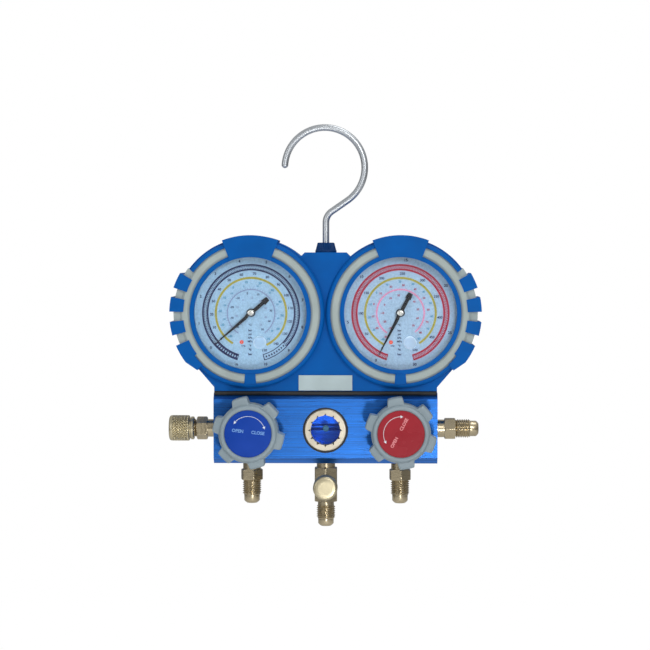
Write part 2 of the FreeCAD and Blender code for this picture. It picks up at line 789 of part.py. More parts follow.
def valve(side_word, sign):
    """Bonnet, seal, stem and piston of one valve, and its handwheel."""
    x = "%s * (side)" % sign
    bonnet = new_body(side_word + "_bonnet", x, "0", "0", FRONT)
    turn(bonnet, "gland", [
        ("0", "bonnet_level"),
        ("bonnet_radius", "bonnet_level"),
        ("bonnet_radius", "face"),
        ("bonnet_neck_radius", "face"),
        ("bonnet_neck_radius", "bonnet_front + bonnet_neck_length"),
        ("0", "bonnet_front + bonnet_neck_length"),
    ])
    hexagon(bonnet, "hexagon", "bonnet_flats", "face", "bonnet_hex_length", "0")
    primitive(bonnet, "SubtractiveCylinder", "stem_bore", z="bonnet_level",
              Radius="stem_radius + running_gap",
              Height="bonnet_front + bonnet_neck_length - bonnet_level")
    groove_radius = "stem_radius + running_gap + 2 * seal_wire + fit_gap"
    turn(bonnet, "seal_groove", [
        ("stem_radius", "seal_level"),
        (groove_radius, "seal_level"),
        (groove_radius, "seal_level + 2 * seal_wire + 2 * fit_gap"),
        ("stem_radius", "seal_level + 2 * seal_wire + 2 * fit_gap"),
    ], "Groove")
    seal_ring(side_word + "_stem_seal", x, "-(seal_level + seal_wire + fit_gap)", "0", FRONT,
              "stem_radius + running_gap + seal_wire", "seal_wire")

    stem = new_body(side_word + "_stem", x, "0", "0", FRONT)
    shoulder = "stem_tip_level + stem_tip_length"
    turn(stem, "spindle", [
        ("0", "stem_tip_level"),
        ("stem_tip_radius", "stem_tip_level"),
        ("stem_tip_radius", shoulder),
        ("stem_radius", shoulder),
        ("stem_radius", "stem_shoulder_level"),
        ("0", "stem_shoulder_level"),
    ])
    half = "stem_square / 2"
    pad(stem, "square", [box_loop("-" + half, half, "-" + half, half)], "stem_shoulder_level",
        "stem_shoulder_level + stem_square_length")
    screw_seat = "stem_shoulder_level + stem_square_length + knob_web / 2"
    primitive(stem, "SubtractiveCylinder", "screw_hole", z=screw_seat + " - screw_length - part_gap",
              Radius="screw_radius + fit_gap", Height="screw_length + part_gap")

    piston = new_body(side_word + "_piston", x, "0", "0", FRONT)
    foot = "seat_level + running_gap"
    turn(piston, "seat_cup", [
        ("0", foot),
        ("piston_cone_radius", foot),
        ("piston_radius", foot + " + piston_cone_length"),
        ("piston_radius", foot + " + piston_length"),
        ("stem_tip_radius + running_gap", foot + " + piston_length"),
        ("stem_tip_radius + running_gap", "stem_tip_level - running_gap"),
        ("0", "stem_tip_level - running_gap"),
    ])

    knob = new_body(side_word + "_knob", x, "0", "0", FRONT)
    turn(knob, "wheel", [
        ("screw_radius + fit_gap", "stem_shoulder_level"),
        ("knob_hub_radius", "stem_shoulder_level"),
        ("knob_hub_radius", "insert_level - knob_wall - knob_web / 2"),
        ("knob_radius - knob_wall", "insert_level - knob_wall - knob_web / 2"),
        ("knob_radius - knob_wall", "knob_back_level"),
        ("knob_radius", "knob_back_level"),
        ("knob_radius", "knob_lobe_front"),
        ("knob_rim_radius", "knob_lobe_front + knob_round"),
        ("knob_rim_radius", "knob_front_level - knob_round", "knob_rim_radius - knob_round",
         "knob_front_level - knob_round", 1),
        ("knob_rim_radius - knob_round", "knob_front_level"),
        ("knob_rim_inner + knob_round / 2", "knob_front_level"),
        ("knob_rim_inner", "knob_front_level - knob_round / 2"),
        ("knob_rim_inner", "insert_level"),
        ("screw_head_radius + part_gap", "insert_level"),
        ("screw_head_radius + part_gap", screw_seat),
        ("screw_radius + fit_gap", screw_seat),
    ])
    start = side_word + "_knob_turn"
    tip = "knob_lobe_tip_angle / 2"
    base = "knob_lobe_foot_angle / 2"
    lobe = pad(knob, "lobe", [[
        polar("knob_radius - deep_overlap", "%s - %s" % (start, base)),
        polar("knob_radius", "%s - %s" % (start, base)),
        (*polar("knob_lobe_radius", "%s - %s" % (start, tip)), "0", "0", 1),
        polar("knob_lobe_radius", "%s + %s" % (start, tip)),
        polar("knob_radius", "%s + %s" % (start, base)),
        polar("knob_radius - deep_overlap", "%s + %s" % (start, base)),
    ]], "knob_lobe_back", "knob_lobe_front")
    around(knob, "lobes", lobe, "knob_lobes")
    half = "(stem_square / 2 + fit_gap)"
    pocket(knob, "stem_hole", [box_loop("-" + half, half, "-" + half, half)], "stem_shoulder_level",
           "stem_shoulder_level + stem_square_length")

    insert = new_body(side_word + "_knob_insert", x, "0", "0", FRONT)
    primitive(insert, "AdditiveCylinder", "disc", z="insert_level", Radius="knob_rim_inner - fit_gap",
              Height="insert_thickness")
    screw = new_body(side_word + "_knob_screw", x, "0", "0", FRONT)
    turn(screw, "screw", [
        ("0", screw_seat + " - screw_length"),
        ("screw_radius", screw_seat + " - screw_length"),
        ("screw_radius", screw_seat),
        ("screw_head_radius", screw_seat),
        ("screw_head_radius", screw_seat + " + screw_head_length"),
        ("0", screw_seat + " + screw_head_length"),
    ])


# sight glass

def sight_glass():
    """Seal, lens and twelve-point ring, one in front of the other."""
    seal = new_body("sight_glass_seal", "0", "0", "0", FRONT)
    turn(seal, "washer", box_loop("sight_radius", "sight_lens_radius", "sight_seat_level", "lens_seat"))
    lens = new_body("sight_glass_lens", "0", "0", "0", FRONT)
    primitive(lens, "AdditiveCylinder", "disc", z="lens_seat", Radius="sight_lens_radius",
              Height="sight_lens_thickness")
    ring = new_body("sight_glass_ring", "0", "0", "0", FRONT)
    front = "face + sight_ring_proud"
    turn(ring, "ring", [
        ("sight_ring_bore", "ring_seat"),
        ("sight_ring_radius", "ring_seat"),
        ("sight_ring_radius", front + " - sight_ring_bevel"),
        ("sight_ring_radius - sight_ring_bevel", front),
        ("sight_ring_bore", front),
    ])
    notch = pocket(ring, "point", [[
        polar("sight_ring_bore - deep_overlap", "-sight_point_angle / 2"),
        ("sight_point_radius", "0"),
        polar("sight_ring_bore - deep_overlap", "sight_point_angle / 2"),
    ]], front + " - sight_point_depth", front)
    around(ring, "points", notch, "sight_points")


# gauge movement

def involute(angle):
    """Involute function in degrees."""
    return "(tan(%s) * 180 / pi - (%s))" % (angle, angle)


def flank(teeth, pitch, radius):
    """Half the angle that a tooth fills at a radius."""
    at_pitch = "(90 / %s - gear_backlash / 2 / (%s) * 180 / pi)" % (teeth, pitch)
    inner = "min((%s) * cos(pressure_angle) / (%s); 1)" % (pitch, radius)
    return "(%s + %s - %s)" % (at_pitch, involute("pressure_angle"), involute("(acos(%s) / 1deg)" % inner))


def tooth(teeth, pitch, angle):
    """Outline of one involute tooth, each flank in two straight stretches."""
    root = "((%s) - gear_dedendum * gear_module)" % pitch
    tip = "((%s) + gear_addendum * gear_module)" % pitch
    radii = (root, "(%s)" % pitch, tip)
    left = [polar(radius, "(%s) - %s" % (angle, flank(teeth, pitch, radius))) for radius in radii]
    right = [polar(radius, "(%s) + %s" % (angle, flank(teeth, pitch, radius))) for radius in reversed(radii)]
    half = flank(teeth, pitch, root)
    foot = [polar("%s - overlap" % root, "(%s) %s %s" % (angle, sign, half)) for sign in "+-"]
    return [left + right + foot]


def movement(side_word, x):
    """Frame, arbor with pinion, toothed sector, link and hairspring of one gauge."""
    turned = side_word + "_pointer_turn"
    sector_rest = "((%s - scale_sweep / 2) / (gear_ratio))" % turned
    frame = new_body(side_word + "_movement_frame", x, "0", "gauge_height", FRONT)
    half = "plate_width / 2"
    rear = "-(rear_plate)"
    pivot = "-(mesh_distance)"
    hole = "pivot_radius + running_gap"
    pad(frame, "rear_plate", [
        box_loop("-" + half, half, "-plate_foot", "plate_top"),
        ("0", "0", hole),
        ("0", pivot, hole),
    ], rear + " - plate_thickness", rear)
    pillars = []
    for level in ("pillar_top", "-pillar_foot"):
        pillars.append(("pillar_side", level, "pillar_radius"))
        pillars.append(("-pillar_side", level, "pillar_radius"))
    pad(frame, "pillars", pillars, rear, "front_plate")
    pad(frame, "front_plate", [
        box_loop("-" + half, half, "part_gap - socket_top_drop", "plate_top"),
        ("0", "0", "arbor_front_radius + running_gap"),
        ("0", pivot, hole),
    ], "front_plate", "front_plate + plate_thickness")
    posts = [("post_side", "-post_drop", "pillar_radius"), ("-post_side", "-post_drop", "pillar_radius")]
    pad(frame, "dial_posts", posts, "front_plate + plate_thickness", "dial_level")
    spring_end = "hairspring_start + %d * hairspring_pitch + hairspring_thickness" % HAIRSPRING_TURNS
    pad(frame, "stud", [(spring_end + " + stud_radius + fit_gap", "0", "stud_radius")],
        "hairspring_level - fit_gap", "front_plate")

    arbor = new_body(side_word + "_arbor", x, "0", "gauge_height", FRONT)
    turn(arbor, "shaft", [
        ("0", rear + " - plate_thickness"),
        ("pivot_radius", rear + " - plate_thickness"),
        ("pivot_radius", rear + " + end_play"),
        ("arbor_radius", rear + " + end_play"),
        ("arbor_radius", "front_plate - end_play"),
        ("arbor_front_radius", "front_plate - end_play"),
        ("arbor_front_radius", "arbor_top"),
        ("0", "arbor_top"),
    ])
    pitch = "gear_module * pinion_teeth / 2"
    low, high = "-pinion_height / 2", "pinion_height / 2"
    pad(arbor, "blank", [("0", "0", pitch + " - gear_dedendum * gear_module")], low, high)
    pinion_rest = "(180 / pinion_teeth - 90 - gear_ratio * %s)" % sector_rest
    first = pad(arbor, "tooth", tooth("pinion_teeth", pitch, pinion_rest), low, high)
    around(arbor, "teeth", first, "pinion_teeth")

    sector = new_body(side_word + "_sector", x, "0", "gauge_height - (mesh_distance)", FRONT)
    pitch = "gear_module * sector_full_teeth / 2"
    root = "(%s - gear_dedendum * gear_module)" % pitch
    low, high = "-sector_height / 2", "sector_height / 2"
    turn(sector, "staff", [
        ("0", rear + " - plate_thickness"),
        ("pivot_radius", rear + " - plate_thickness"),
        ("pivot_radius", rear + " + end_play"),
        ("arbor_radius", rear + " + end_play"),
        ("arbor_radius", "front_plate - end_play"),
        ("pivot_radius", "front_plate - end_play"),
        ("pivot_radius", "front_plate + plate_thickness"),
        ("0", "front_plate + plate_thickness"),
    ])
    span = "(tooth_step * sector_teeth / 2)"
    middle = "(90 + %s)" % sector_rest
    pad(sector, "hub", [("0", "0", "sector_hub_radius")], low, high)
    pad(sector, "rim", [ring_sector("0", "0", root + " - sector_rim", root, "%s - %s" % (middle, span),
                                    "%s + %s" % (middle, span))], low, high)
    foot = "sector_hub_radius - deep_overlap"
    for word, sign in (("right_spoke", "-"), ("left_spoke", "+")):
        lean = "(%s %s (%s - spoke_inset))" % (middle, sign, span)
        pad(sector, word, [bar(foot, root + " - sector_rim / 2", lean, "sector_spoke")], low, high)
    tail = "(%s + tail_angle)" % middle
    pad(sector, "tail", [bar(foot, "tail_length", tail, "tail_width")], low, high)
    tail_end = polar("tail_length", tail)
    pad(sector, "tail_boss", [(*tail_end, "pivot_boss")], low, high)
    pad(sector, "link_pin", [(*tail_end, "linkpin_radius")], high, high + " + linkpin_length")
    first_angle = "%s - tooth_step * (sector_teeth - 1) / 2" % middle
    first = pad(sector, "tooth", tooth("sector_full_teeth", pitch, first_angle), low, high)
    around(sector, "teeth", first, "sector_teeth", "tooth_step * (sector_teeth - 1)")

    link = new_body(side_word + "_link", x, "0", "gauge_height", FRONT)
    start = (tail_end[0], "%s - (mesh_distance)" % tail_end[1])
    end = ("lug_right", "-lug_drop")
    low = "sector_height / 2 + part_gap"
    high = low + " + link_thickness"
    pad(link, "strip", [strip(start, end, "link_width")], low, high)
    pad(link, "bosses", [(*start, "pivot_boss"), (*end, "pivot_boss")], low, high)
    hole = "linkpin_radius + running_gap"
    pocket(link, "holes", [(*start, hole), (*end, hole)], low, high)

    spring = new_body(side_word + "_hairspring", x, "0", "gauge_height", FRONT)
    pad(spring, "ribbon", [spiral()], "hairspring_level", "hairspring_level + hairspring_height")


def bar(start, end, angle, width):
    """A straight bar along a ray from the centre."""
    return tapered(start, width, end, width, angle)


def strip(start, end, width):
    """A straight strip between two points."""
    run = "(%s - (%s))" % (end[0], start[0])
    rise = "(%s - (%s))" % (end[1], start[1])
    length = "sqrt(%s ^ 2 + %s ^ 2)" % (run, rise)
    side_x = "(%s) / 2 * %s / %s" % (width, rise, length)
    side_y = "(%s) / 2 * %s / %s" % (width, run, length)
    return [
        ("%s + %s" % (start[0], side_x), "%s - %s" % (start[1], side_y)),
        ("%s + %s" % (end[0], side_x), "%s - %s" % (end[1], side_y)),
        ("%s - %s" % (end[0], side_x), "%s + %s" % (end[1], side_y)),
        ("%s - %s" % (start[0], side_x), "%s + %s" % (start[1], side_y)),
    ]


def spiral():
    """A flat ribbon wound in half circles whose centres lie a quarter pitch either side of the middle."""
    inner, outer = [], []
    for half_turn in range(2 * HAIRSPRING_TURNS + 1):
        reach = "hairspring_start + %d * hairspring_pitch / 2" % half_turn
        sign = "-" if half_turn % 2 else ""
        center = ("-" if half_turn % 2 == 0 else "") + "hairspring_pitch / 4"
        inner.append(("%s(%s)" % (sign, reach), "0", center, "0", 1))
        outer.append(("%s(%s + hairspring_thickness)" % (sign, reach), "0"))
    inner[-1] = inner[-1][:2]
    back = [outer[-1] + inner[-2][2:4] + (-1,)]
    for half_turn in range(2 * HAIRSPRING_TURNS - 1, 0, -1):
        back.append(outer[half_turn] + inner[half_turn - 1][2:4] + (-1,))
    back.append(outer[0])
    return inner + back


# gauges

def gauge(side_word, sign):
    """Case, lens, dial, pointer, socket and tube of one gauge, and its movement."""
    x = "%s * (side)" % sign
    case = new_body(side_word + "_case", x, "0", "gauge_height", FRONT)
    turn(case, "shell", [
        ("0", "-case_back"),
        ("case_radius", "-case_back"),
        ("case_radius", "case_front"),
        ("case_bore", "case_front"),
        ("case_bore", "case_wall - case_back"),
        ("0", "case_wall - case_back"),
    ])
    half = "(socket_width / 2 + fit_gap)"
    primitive(case, "SubtractiveBox", "socket_hole", x="-" + half, y="-case_radius - deep_overlap",
              z="-" + half,
              Length="2 * " + half, Width="case_wall + socket_hole_reach", Height="2 * " + half)

    lens = new_body(side_word + "_lens", x, "0", "gauge_height", FRONT)
    skirt = "case_bore - fit_gap"
    turn(lens, "window", [
        ("0", "case_front"),
        (skirt + " - lens_skirt_width", "case_front"),
        (skirt + " - lens_skirt_width", "case_front - lens_skirt_length"),
        (skirt, "case_front - lens_skirt_length"),
        (skirt, "case_front"),
        ("case_radius", "case_front"),
        ("case_radius", "lens_front"),
        ("lens_dome_radius", "lens_front"),
        ("0", "lens_front + lens_dome"),
    ])
    primitive(lens, "AdditiveCylinder", "adjuster", x="adjuster_right", y="-adjuster_drop",
              z="lens_front - overlap", Radius="adjuster_radius", Height="adjuster_proud + overlap")

    dial = new_body(side_word + "_dial", x, "0", "gauge_height", FRONT)
    turn(dial, "plate", box_loop("dial_bore", "dial_radius", "dial_level", "dial_level + dial_thickness"))

    pointer = new_body(side_word + "_pointer", x, "0", "gauge_height", FRONT)
    heading = "(scale_start - %s_pointer_turn)" % side_word
    turn(pointer, "hub", [
        ("arbor_front_radius + fit_gap", "hub_level"),
        ("hub_radius", "hub_level"),
        ("hub_radius", "hub_level + hub_length - hub_bevel"),
        ("hub_radius - hub_bevel", "hub_level + hub_length"),
        ("arbor_front_radius + fit_gap", "hub_level + hub_length"),
    ])
    foot = "hub_radius - deep_overlap"
    low, high = "pointer_level", "pointer_level + pointer_thickness"
    pad(pointer, "needle", [tapered(foot, "pointer_foot", "pointer_reach", "pointer_tip", heading)], low,
        high)
    behind = "(%s + 180)" % heading
    shoulder = "pointer_tail - pointer_tail_head"
    pad(pointer, "tail", [tapered(foot, "pointer_tail_foot", shoulder, "pointer_foot", behind)], low, high)
    head = tapered(shoulder + " - overlap", "pointer_tail_width", "pointer_tail", "pointer_tail_end", behind)
    pad(pointer, "tail_head", [head], low, high)

    socket = new_body(side_word + "_socket", x, "0", "gauge_height", FRONT)
    half = "socket_width / 2"
    deep = "socket_depth / 2"
    pad(socket, "inner_block", [box_loop("-" + half, half, "-case_radius", "-socket_top_drop")], "-" + deep,
        deep)
    pad(socket, "flats", [box_loop("-" + half, half, "-(socket_bottom)", "-case_radius")], "-" + half, half)
    primitive(socket, "AdditiveCylinder", "shank", y="-(socket_bottom)", turned=FRONT, Radius="shank_radius",
              Height="shank_length")
    primitive(socket, "SubtractiveCylinder", "bore", y="-tube_radius", turned=FRONT,
              Radius="drilling_radius / 2",
              Height="socket_bottom - tube_radius + shank_length")

    tube = new_body(side_word + "_tube_blank", x, "0", "gauge_height", FRONT, kept=False)
    left, right = "tube_radius - tube_width / 2", "tube_radius + tube_width / 2"
    low, high = "-tube_height / 2", "tube_height / 2"
    profile = sketch(tube, "tube_section", "XZ_Plane", [
        box_loop(left, right, low, high),
        box_loop(left + " + tube_wall", right + " - tube_wall", low + " + tube_wall", high + " - tube_wall"),
    ])
    bend = tube.newObject("PartDesign::Revolution", "bend")
    bend.Profile = profile
    bend.ReferenceAxis = (profile, ["V_Axis"])
    bind(bend, Angle="tube_sweep")
    pad(tube, "tip", [box_loop(left + " - tip_wall", right + " + tip_wall", "-tip_length", "0")],
        low + " - tip_wall",
        high + " + tip_wall")
    low, high = "-lug_thickness / 2", "lug_thickness / 2"
    pad(tube, "lug", [strip(("lug_right", "-lug_drop"), (left, "-tip_length / 2"), "2 * pivot_boss")], low,
        high)
    pad(tube, "lug_boss", [("lug_right", "-lug_drop", "pivot_boss")], low, high)
    pocket(tube, "lug_hole", [("lug_right", "-lug_drop", "linkpin_radius + running_gap")], low, high)
    trimmed = doc.addObject("Part::Cut", side_word + "_bourdon_tube")
    trimmed.Label = side_word + "_bourdon_tube"
    trimmed.Base = tube
    trimmed.Tool = socket
    parts.append(trimmed)
    movement(side_word, x)


def tapered(start, start_width, end, end_width, angle):
    """A flat blade along a ray, with a width at each end."""
    corners = []
    ends = ((start, start_width, "+"), (end, end_width, "+"), (end, end_width, "-"),
            (start, start_width, "-"))
    for radius, width, sign in ends:
        other = "-" if sign == "+" else "+"
        corners.append(("(%s) * cos(%s) %s (%s) / 2 * sin(%s)" % (radius, angle, sign, width, angle),
                        "(%s) * sin(%s) %s (%s) / 2 * cos(%s)" % (radius, angle, other, width, angle)))
    return corners


# boot, trim and name plate

def boot_outline():
    """Outline of the boot: foot, flanks, both cups and the plateau between them."""
    right = [
        ("boot_foot_half", "block_above"),
        ("boot_foot_half", "block_above + boot_foot_side"),
        ("side - cup_radius * cos(flank_angle)", "gauge_height + cup_radius * sin(flank_angle)", "side",
         "gauge_height", 1),
        ("valley_half", "gauge_height + sqrt(cup_radius ^ 2 - (side - valley_half) ^ 2)"),
        ("plateau_half", "plateau_height"),
    ]
    left = []
    for corner in reversed(right):
        left.append(("-(%s)" % corner[0], corner[1]))
    left[1] = (*left[1], "-(side)", "gauge_height", 1)
    return right + left


def boot():
    """One-piece jacket: plate with two cups, lips, lugs and side pads."""
    body = new_body("boot_shell", "0", "0", "0", FRONT)
    plate_pad = pad(body, "plate", [boot_outline()], "-boot_back", "boot_front")
    rounded(body, "back_round", plate_pad, "-boot_back", "boot_round")
    centers = [("%s * (side)" % sign, "gauge_height") for sign in ("-1", "1")]
    rim = pad(body, "cup_rims", [(*center, "cup_rim_radius") for center in centers], "boot_front",
              "cup_front")
    rounded(body, "rim_round", rim, "cup_front", "cup_round")
    pocket(body, "windows", [(*center, "window_radius") for center in centers], "cavity_front", "cup_front")
    pocket(body, "cavities", [(*center, "cavity_radius") for center in centers], "-case_back - part_gap",
           "cavity_front")
    pocket(body, "back_openings", [(*center, "back_opening") for center in centers], "-boot_back",
           "-case_back - part_gap")
    for word, mirror in (("low", -1), ("high", 1)):
        def sector(inner, outer, span):
            return ring_sector("side", "gauge_height", inner, outer, *span, mirror)
        center = ("%d * (side)" % mirror, "gauge_height")
        pocket(body, word + "_groove", [(*center, "trim_outer"), (*center, "trim_inner")], "trim_floor",
               "cup_front")
        band = sector("trim_outer", "cup_radius + deep_overlap", ("band_start", "band_end"))
        pocket(body, word + "_recess", [band], "-band_back", "cup_front")
        bridge = sector("trim_inner - overlap", "trim_outer + overlap",
                        ("-90 - bridge_angle", "-90 + bridge_angle"))
        pad(body, word + "_bridge", [bridge], "trim_cover", "cup_front - cup_round / 4")
        lug_span = ("90 - lug_angle", "90 + lug_angle")
        pad(body, word + "_lug", [sector("trim_outer", "lug_radius", lug_span)], "-pad_end", "lug_front")
        pad(body, word + "_lug_face", [sector("window_radius", "trim_outer + overlap", lug_span)],
            "trim_cover",
            "lug_front")
        pads = [sector("trim_outer - overlap", "pad_radius", span) for span in GRIP_PADS]
        faces = [sector("pad_inner", "trim_outer", span) for span in GRIP_PADS]
        pads.append(long_pad("trim_outer - overlap", mirror))
        faces.append(sector("pad_inner", "trim_outer", LONG_PAD[1:]))
        pad(body, word + "_pads", pads, "-pad_end", "pad_front")
        pad(body, word + "_pad_faces", faces, "trim_cover", "pad_front")
        hole = "(socket_width / 2 + part_gap)"
        primitive(body, "SubtractiveBox", word + "_socket_way", x="%d * (side) - %s" % (mirror, hole),
                  y="block_above", z="-" + hole, Length="2 * " + hole,
                  Width="gauge_height - block_above - case_radius + 2 * deep_overlap", Height="2 * " + hole)
    nut_space = box_loop("-nut_pocket_half", "nut_pocket_half", "nut_pocket_foot", "nut_pocket_top")
    pocket(body, "nut_pocket", [nut_space], "-boot_back", "nut_pocket_front")
    for word, radius, low, high in (
        ("hook_bore", "hook_wire + part_gap", "nut_pocket_top - deep_overlap", "plateau_height"),
        ("collar_bore", "collar_shank_radius + fit_gap", "plateau_height - collar_shank_length",
         "plateau_height"),
    ):
        primitive(body, "SubtractiveCylinder", word, y=low, turned=BACK, Radius=radius,
                  Height="(%s) - (%s)" % (high, low))
    return body


def long_pad(inner, mirror):
    """The lowest pad, whose lower end runs out to a point on the flank."""
    point, corner, end = LONG_PAD
    spots = [
        polar(inner, point, "side", "gauge_height"),
        polar("pad_tail_radius", point, "side", "gauge_height"),
        polar("pad_radius", corner, "side", "gauge_height"),
        polar("pad_radius", end, "side", "gauge_height"),
        polar(inner, end, "side", "gauge_height"),
    ]
    flat = [("%d * (%s)" % (mirror, spot[0]), spot[1]) for spot in spots]
    center = ("%d * (side)" % mirror, "gauge_height")
    return [flat[0], flat[1], (*flat[2], *center, mirror), flat[3], (*flat[4], *center, -mirror)]


def trim(side_word, mirror, jacket):
    """Soft grey ring in the cup's front groove, with a band down the outer side."""
    x = "%d * (side)" % mirror
    blank = new_body(side_word + "_trim_blank", x, "0", "gauge_height", FRONT, kept=False)
    turn(blank, "ring", [
        ("trim_inner", "trim_floor"),
        ("trim_outer", "trim_floor"),
        ("trim_outer", "trim_front - trim_round"),
        ("trim_outer - trim_round", "trim_front"),
        ("trim_inner + trim_round", "trim_front"),
        ("trim_inner", "trim_front - trim_round"),
    ])
    band = ring_sector("0", "0", "trim_outer - overlap", "band_radius", "band_start", "band_end", mirror)
    pad(blank, "band", [band], "-band_back", "band_front")
    ring = doc.addObject("Part::Cut", side_word + "_trim_ring")
    ring.Label = side_word + "_trim_ring"
    ring.Base = blank
    ring.Tool = jacket
    parts.append(ring)


def name_plate():
    """Bare plate on the boot's lower middle."""
    body = new_body("name_plate", "0", "0", "0", FRONT)
    pad(body, "plate", [box_loop("-plate_half", "plate_half", "plate_low", "plate_high")], "boot_front",
        "boot_front + plate_proud")


# hook

def hook():
    """Wire hook: straight stem, bend, short diagonal and a round crook."""
    body = new_body("hook", "0", "0", "0")
    section = sketch(body, "wire_section", "XY_Plane", [("0", "0", "hook_wire")], "hook_foot")
    path = body.newObject("Sketcher::SketchObject", "wire_path")
    path.AttachmentSupport = [(plane(body, "XZ_Plane"), "")]
    path.MapMode = "FlatFace"
    crook = ("-hook_center_left", "hook_center_height")
    crook_start = polar("hook_radius", "-hook_turn", *crook)
    bend_end = ("hook_bend * (1 - cos(hook_turn))", "straight_top + hook_bend * sin(hook_turn)")
    draw(path, [
        ("0", "hook_foot"),
        ("0", "straight_top", "hook_bend", "straight_top", -1),
        bend_end,
        (*crook_start, *crook, 1),
        polar("hook_radius", "hook_tip_angle", *crook),
    ], closed=False)
    pipe = body.newObject("PartDesign::AdditivePipe", "wire")
    pipe.Profile = section
    pipe.Spine = (path, ["Edge1", "Edge2", "Edge3", "Edge4"])
    tip = polar("hook_radius", "hook_tip_angle", *crook)
    primitive(body, "AdditiveSphere", "tip", x=tip[0], z=tip[1], Radius="hook_wire")

    collar = new_body("hook_collar", "0", "0", "plateau_height")
    turn(collar, "bush", [
        ("hook_wire + part_gap", "-collar_shank_length"),
        ("collar_shank_radius", "-collar_shank_length"),
        ("collar_shank_radius", "0"),
        ("collar_foot_radius", "0"),
        ("collar_foot_radius", "collar_ring"),
        ("collar_top_radius", "collar_height"),
        ("hook_wire + part_gap", "collar_height"),
    ])
    nut = new_body("hook_nut", "0", "0", "nut_foot")
    hexagon(nut, "nut", "nut_flats", "0", "nut_height", "0")
    primitive(nut, "SubtractiveCylinder", "bore", Radius="hook_wire + fit_gap", Height="nut_height")


block()
union("low_side_port", "-block_length / 2", "0", LEFT, "low_side_hex_turn")
union("high_side_port", "block_length / 2", "0", RIGHT, "high_side_hex_turn")
union("low_bottom_port", "-(side)", "-block_below", DOWN, "low_bottom_hex_turn")
union("high_bottom_port", "side", "-block_below", DOWN, "high_bottom_hex_turn")
tee()
access_core()
dust_cap("low_side_cap", "-block_length / 2", "0", "0", LEFT, "side_cap_radius", "side_cap_back",
         "side_cap_length",
         "union_end")
dust_cap("access_cap", "0", "0", "-block_below - branch_drop", FRONT, "access_cap_radius", "access_cap_back",
         "access_cap_length", "core_front + pin_proud")
valve("low", "-1")
valve("high", "1")
sight_glass()
gauge("low", "-1")
gauge("high", "1")
shell = boot()
trim("low", -1, shell)
trim("high", 1, shell)
name_plate()
hook()
doc.recompute()

# nothing is written unless every object is sound and every cut removed something
faults = []
for item in doc.Objects:
    if "Invalid" in item.State or "Error" in item.State:
        faults.append("%s: %s" % (item.Name, item.State))
for body in [item for item in doc.Objects if item.TypeId == "PartDesign::Body"]:
    before = 0.0
    for feature in body.Group:
        if feature.TypeId.startswith("Sketcher") or feature.Shape.isNull():
            continue
        after = feature.Shape.Volume
        cuts = any(word in feature.TypeId for word in ("Pocket", "Groove", "Subtractive"))
        if cuts and after > before - 0.001:
            faults.append("%s in %s removes nothing" % (feature.Name, body.Name))
        before = after
for sub_part in parts:
    if sub_part.Shape.isNull() or not sub_part.Shape.isValid() or not sub_part.Shape.Solids:
        faults.append("%s has no sound shape" % sub_part.Label)
if faults:
    raise SystemExit("\n".join(faults))
for sub_part in parts:
    sub_part.Shape.exportStep("parts/%s.step" % sub_part.Label)
print("%d sub-parts written" % len(parts))
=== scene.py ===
"""Looks of the two-gauge refrigerant manifold: its dressed pieces, finishes, camera and lamps.

Pieces are worked out in millimetres and come to metres where their mesh is made. The camera and the
lamps are placed in metres.
"""
import json
import math

import bmesh
import bpy
import numpy as np
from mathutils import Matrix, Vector


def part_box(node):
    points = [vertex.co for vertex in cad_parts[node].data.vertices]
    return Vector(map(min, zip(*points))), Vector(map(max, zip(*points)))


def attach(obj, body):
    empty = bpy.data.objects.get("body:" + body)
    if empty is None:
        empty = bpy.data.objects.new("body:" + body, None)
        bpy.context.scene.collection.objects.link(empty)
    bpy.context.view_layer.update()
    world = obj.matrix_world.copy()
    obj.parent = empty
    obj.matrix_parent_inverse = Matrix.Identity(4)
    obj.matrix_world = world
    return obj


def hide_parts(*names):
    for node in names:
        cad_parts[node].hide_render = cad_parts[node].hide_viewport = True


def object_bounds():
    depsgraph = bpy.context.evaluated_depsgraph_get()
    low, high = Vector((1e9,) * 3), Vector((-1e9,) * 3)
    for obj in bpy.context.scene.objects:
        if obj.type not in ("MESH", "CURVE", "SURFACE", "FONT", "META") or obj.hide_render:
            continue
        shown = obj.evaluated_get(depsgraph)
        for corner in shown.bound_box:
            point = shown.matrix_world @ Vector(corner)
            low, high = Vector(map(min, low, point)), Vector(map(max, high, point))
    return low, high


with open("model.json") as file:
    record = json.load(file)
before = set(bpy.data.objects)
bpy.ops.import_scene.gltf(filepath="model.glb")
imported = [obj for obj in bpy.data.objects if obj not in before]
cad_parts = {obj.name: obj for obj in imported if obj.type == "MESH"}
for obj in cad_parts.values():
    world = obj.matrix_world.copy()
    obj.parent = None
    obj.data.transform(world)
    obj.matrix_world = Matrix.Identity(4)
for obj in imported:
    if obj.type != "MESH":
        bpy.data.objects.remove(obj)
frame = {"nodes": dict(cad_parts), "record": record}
nodes = frame["nodes"]
cad_box = [list(corner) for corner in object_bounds()]
MM = 0.001


def center(node):
    """Middle of a CAD node's box, in millimetres."""
    low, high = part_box(node)
    return np.array((low + high) / 2) / MM


# height of the side ports' axis, the gauges' distance aside and height, and the dials' front
AXIS = center("low_side_port")[2]
SIDE = center("high_dial")[0]
GAUGE = center("high_dial")[2]
DIAL_FACE = -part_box("low_dial")[0][1] / MM
BLOCK_LOW, BLOCK_HIGH = (np.array(corner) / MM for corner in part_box("manifold_block"))

# each heading gives the directions of a piece's own x, y and z
FRONT = np.array(((1, 0, 0), (0, 0, 1), (0, -1, 0)), float)
UP = np.eye(3)
DOWN = np.array(((1, 0, 0), (0, -1, 0), (0, 0, -1)), float)
LEFT = np.array(((0, 0, 1), (0, 1, 0), (-1, 0, 0)), float)
RIGHT = np.array(((0, 0, -1), (0, 1, 0), (1, 0, 0)), float)


# colours and finishes

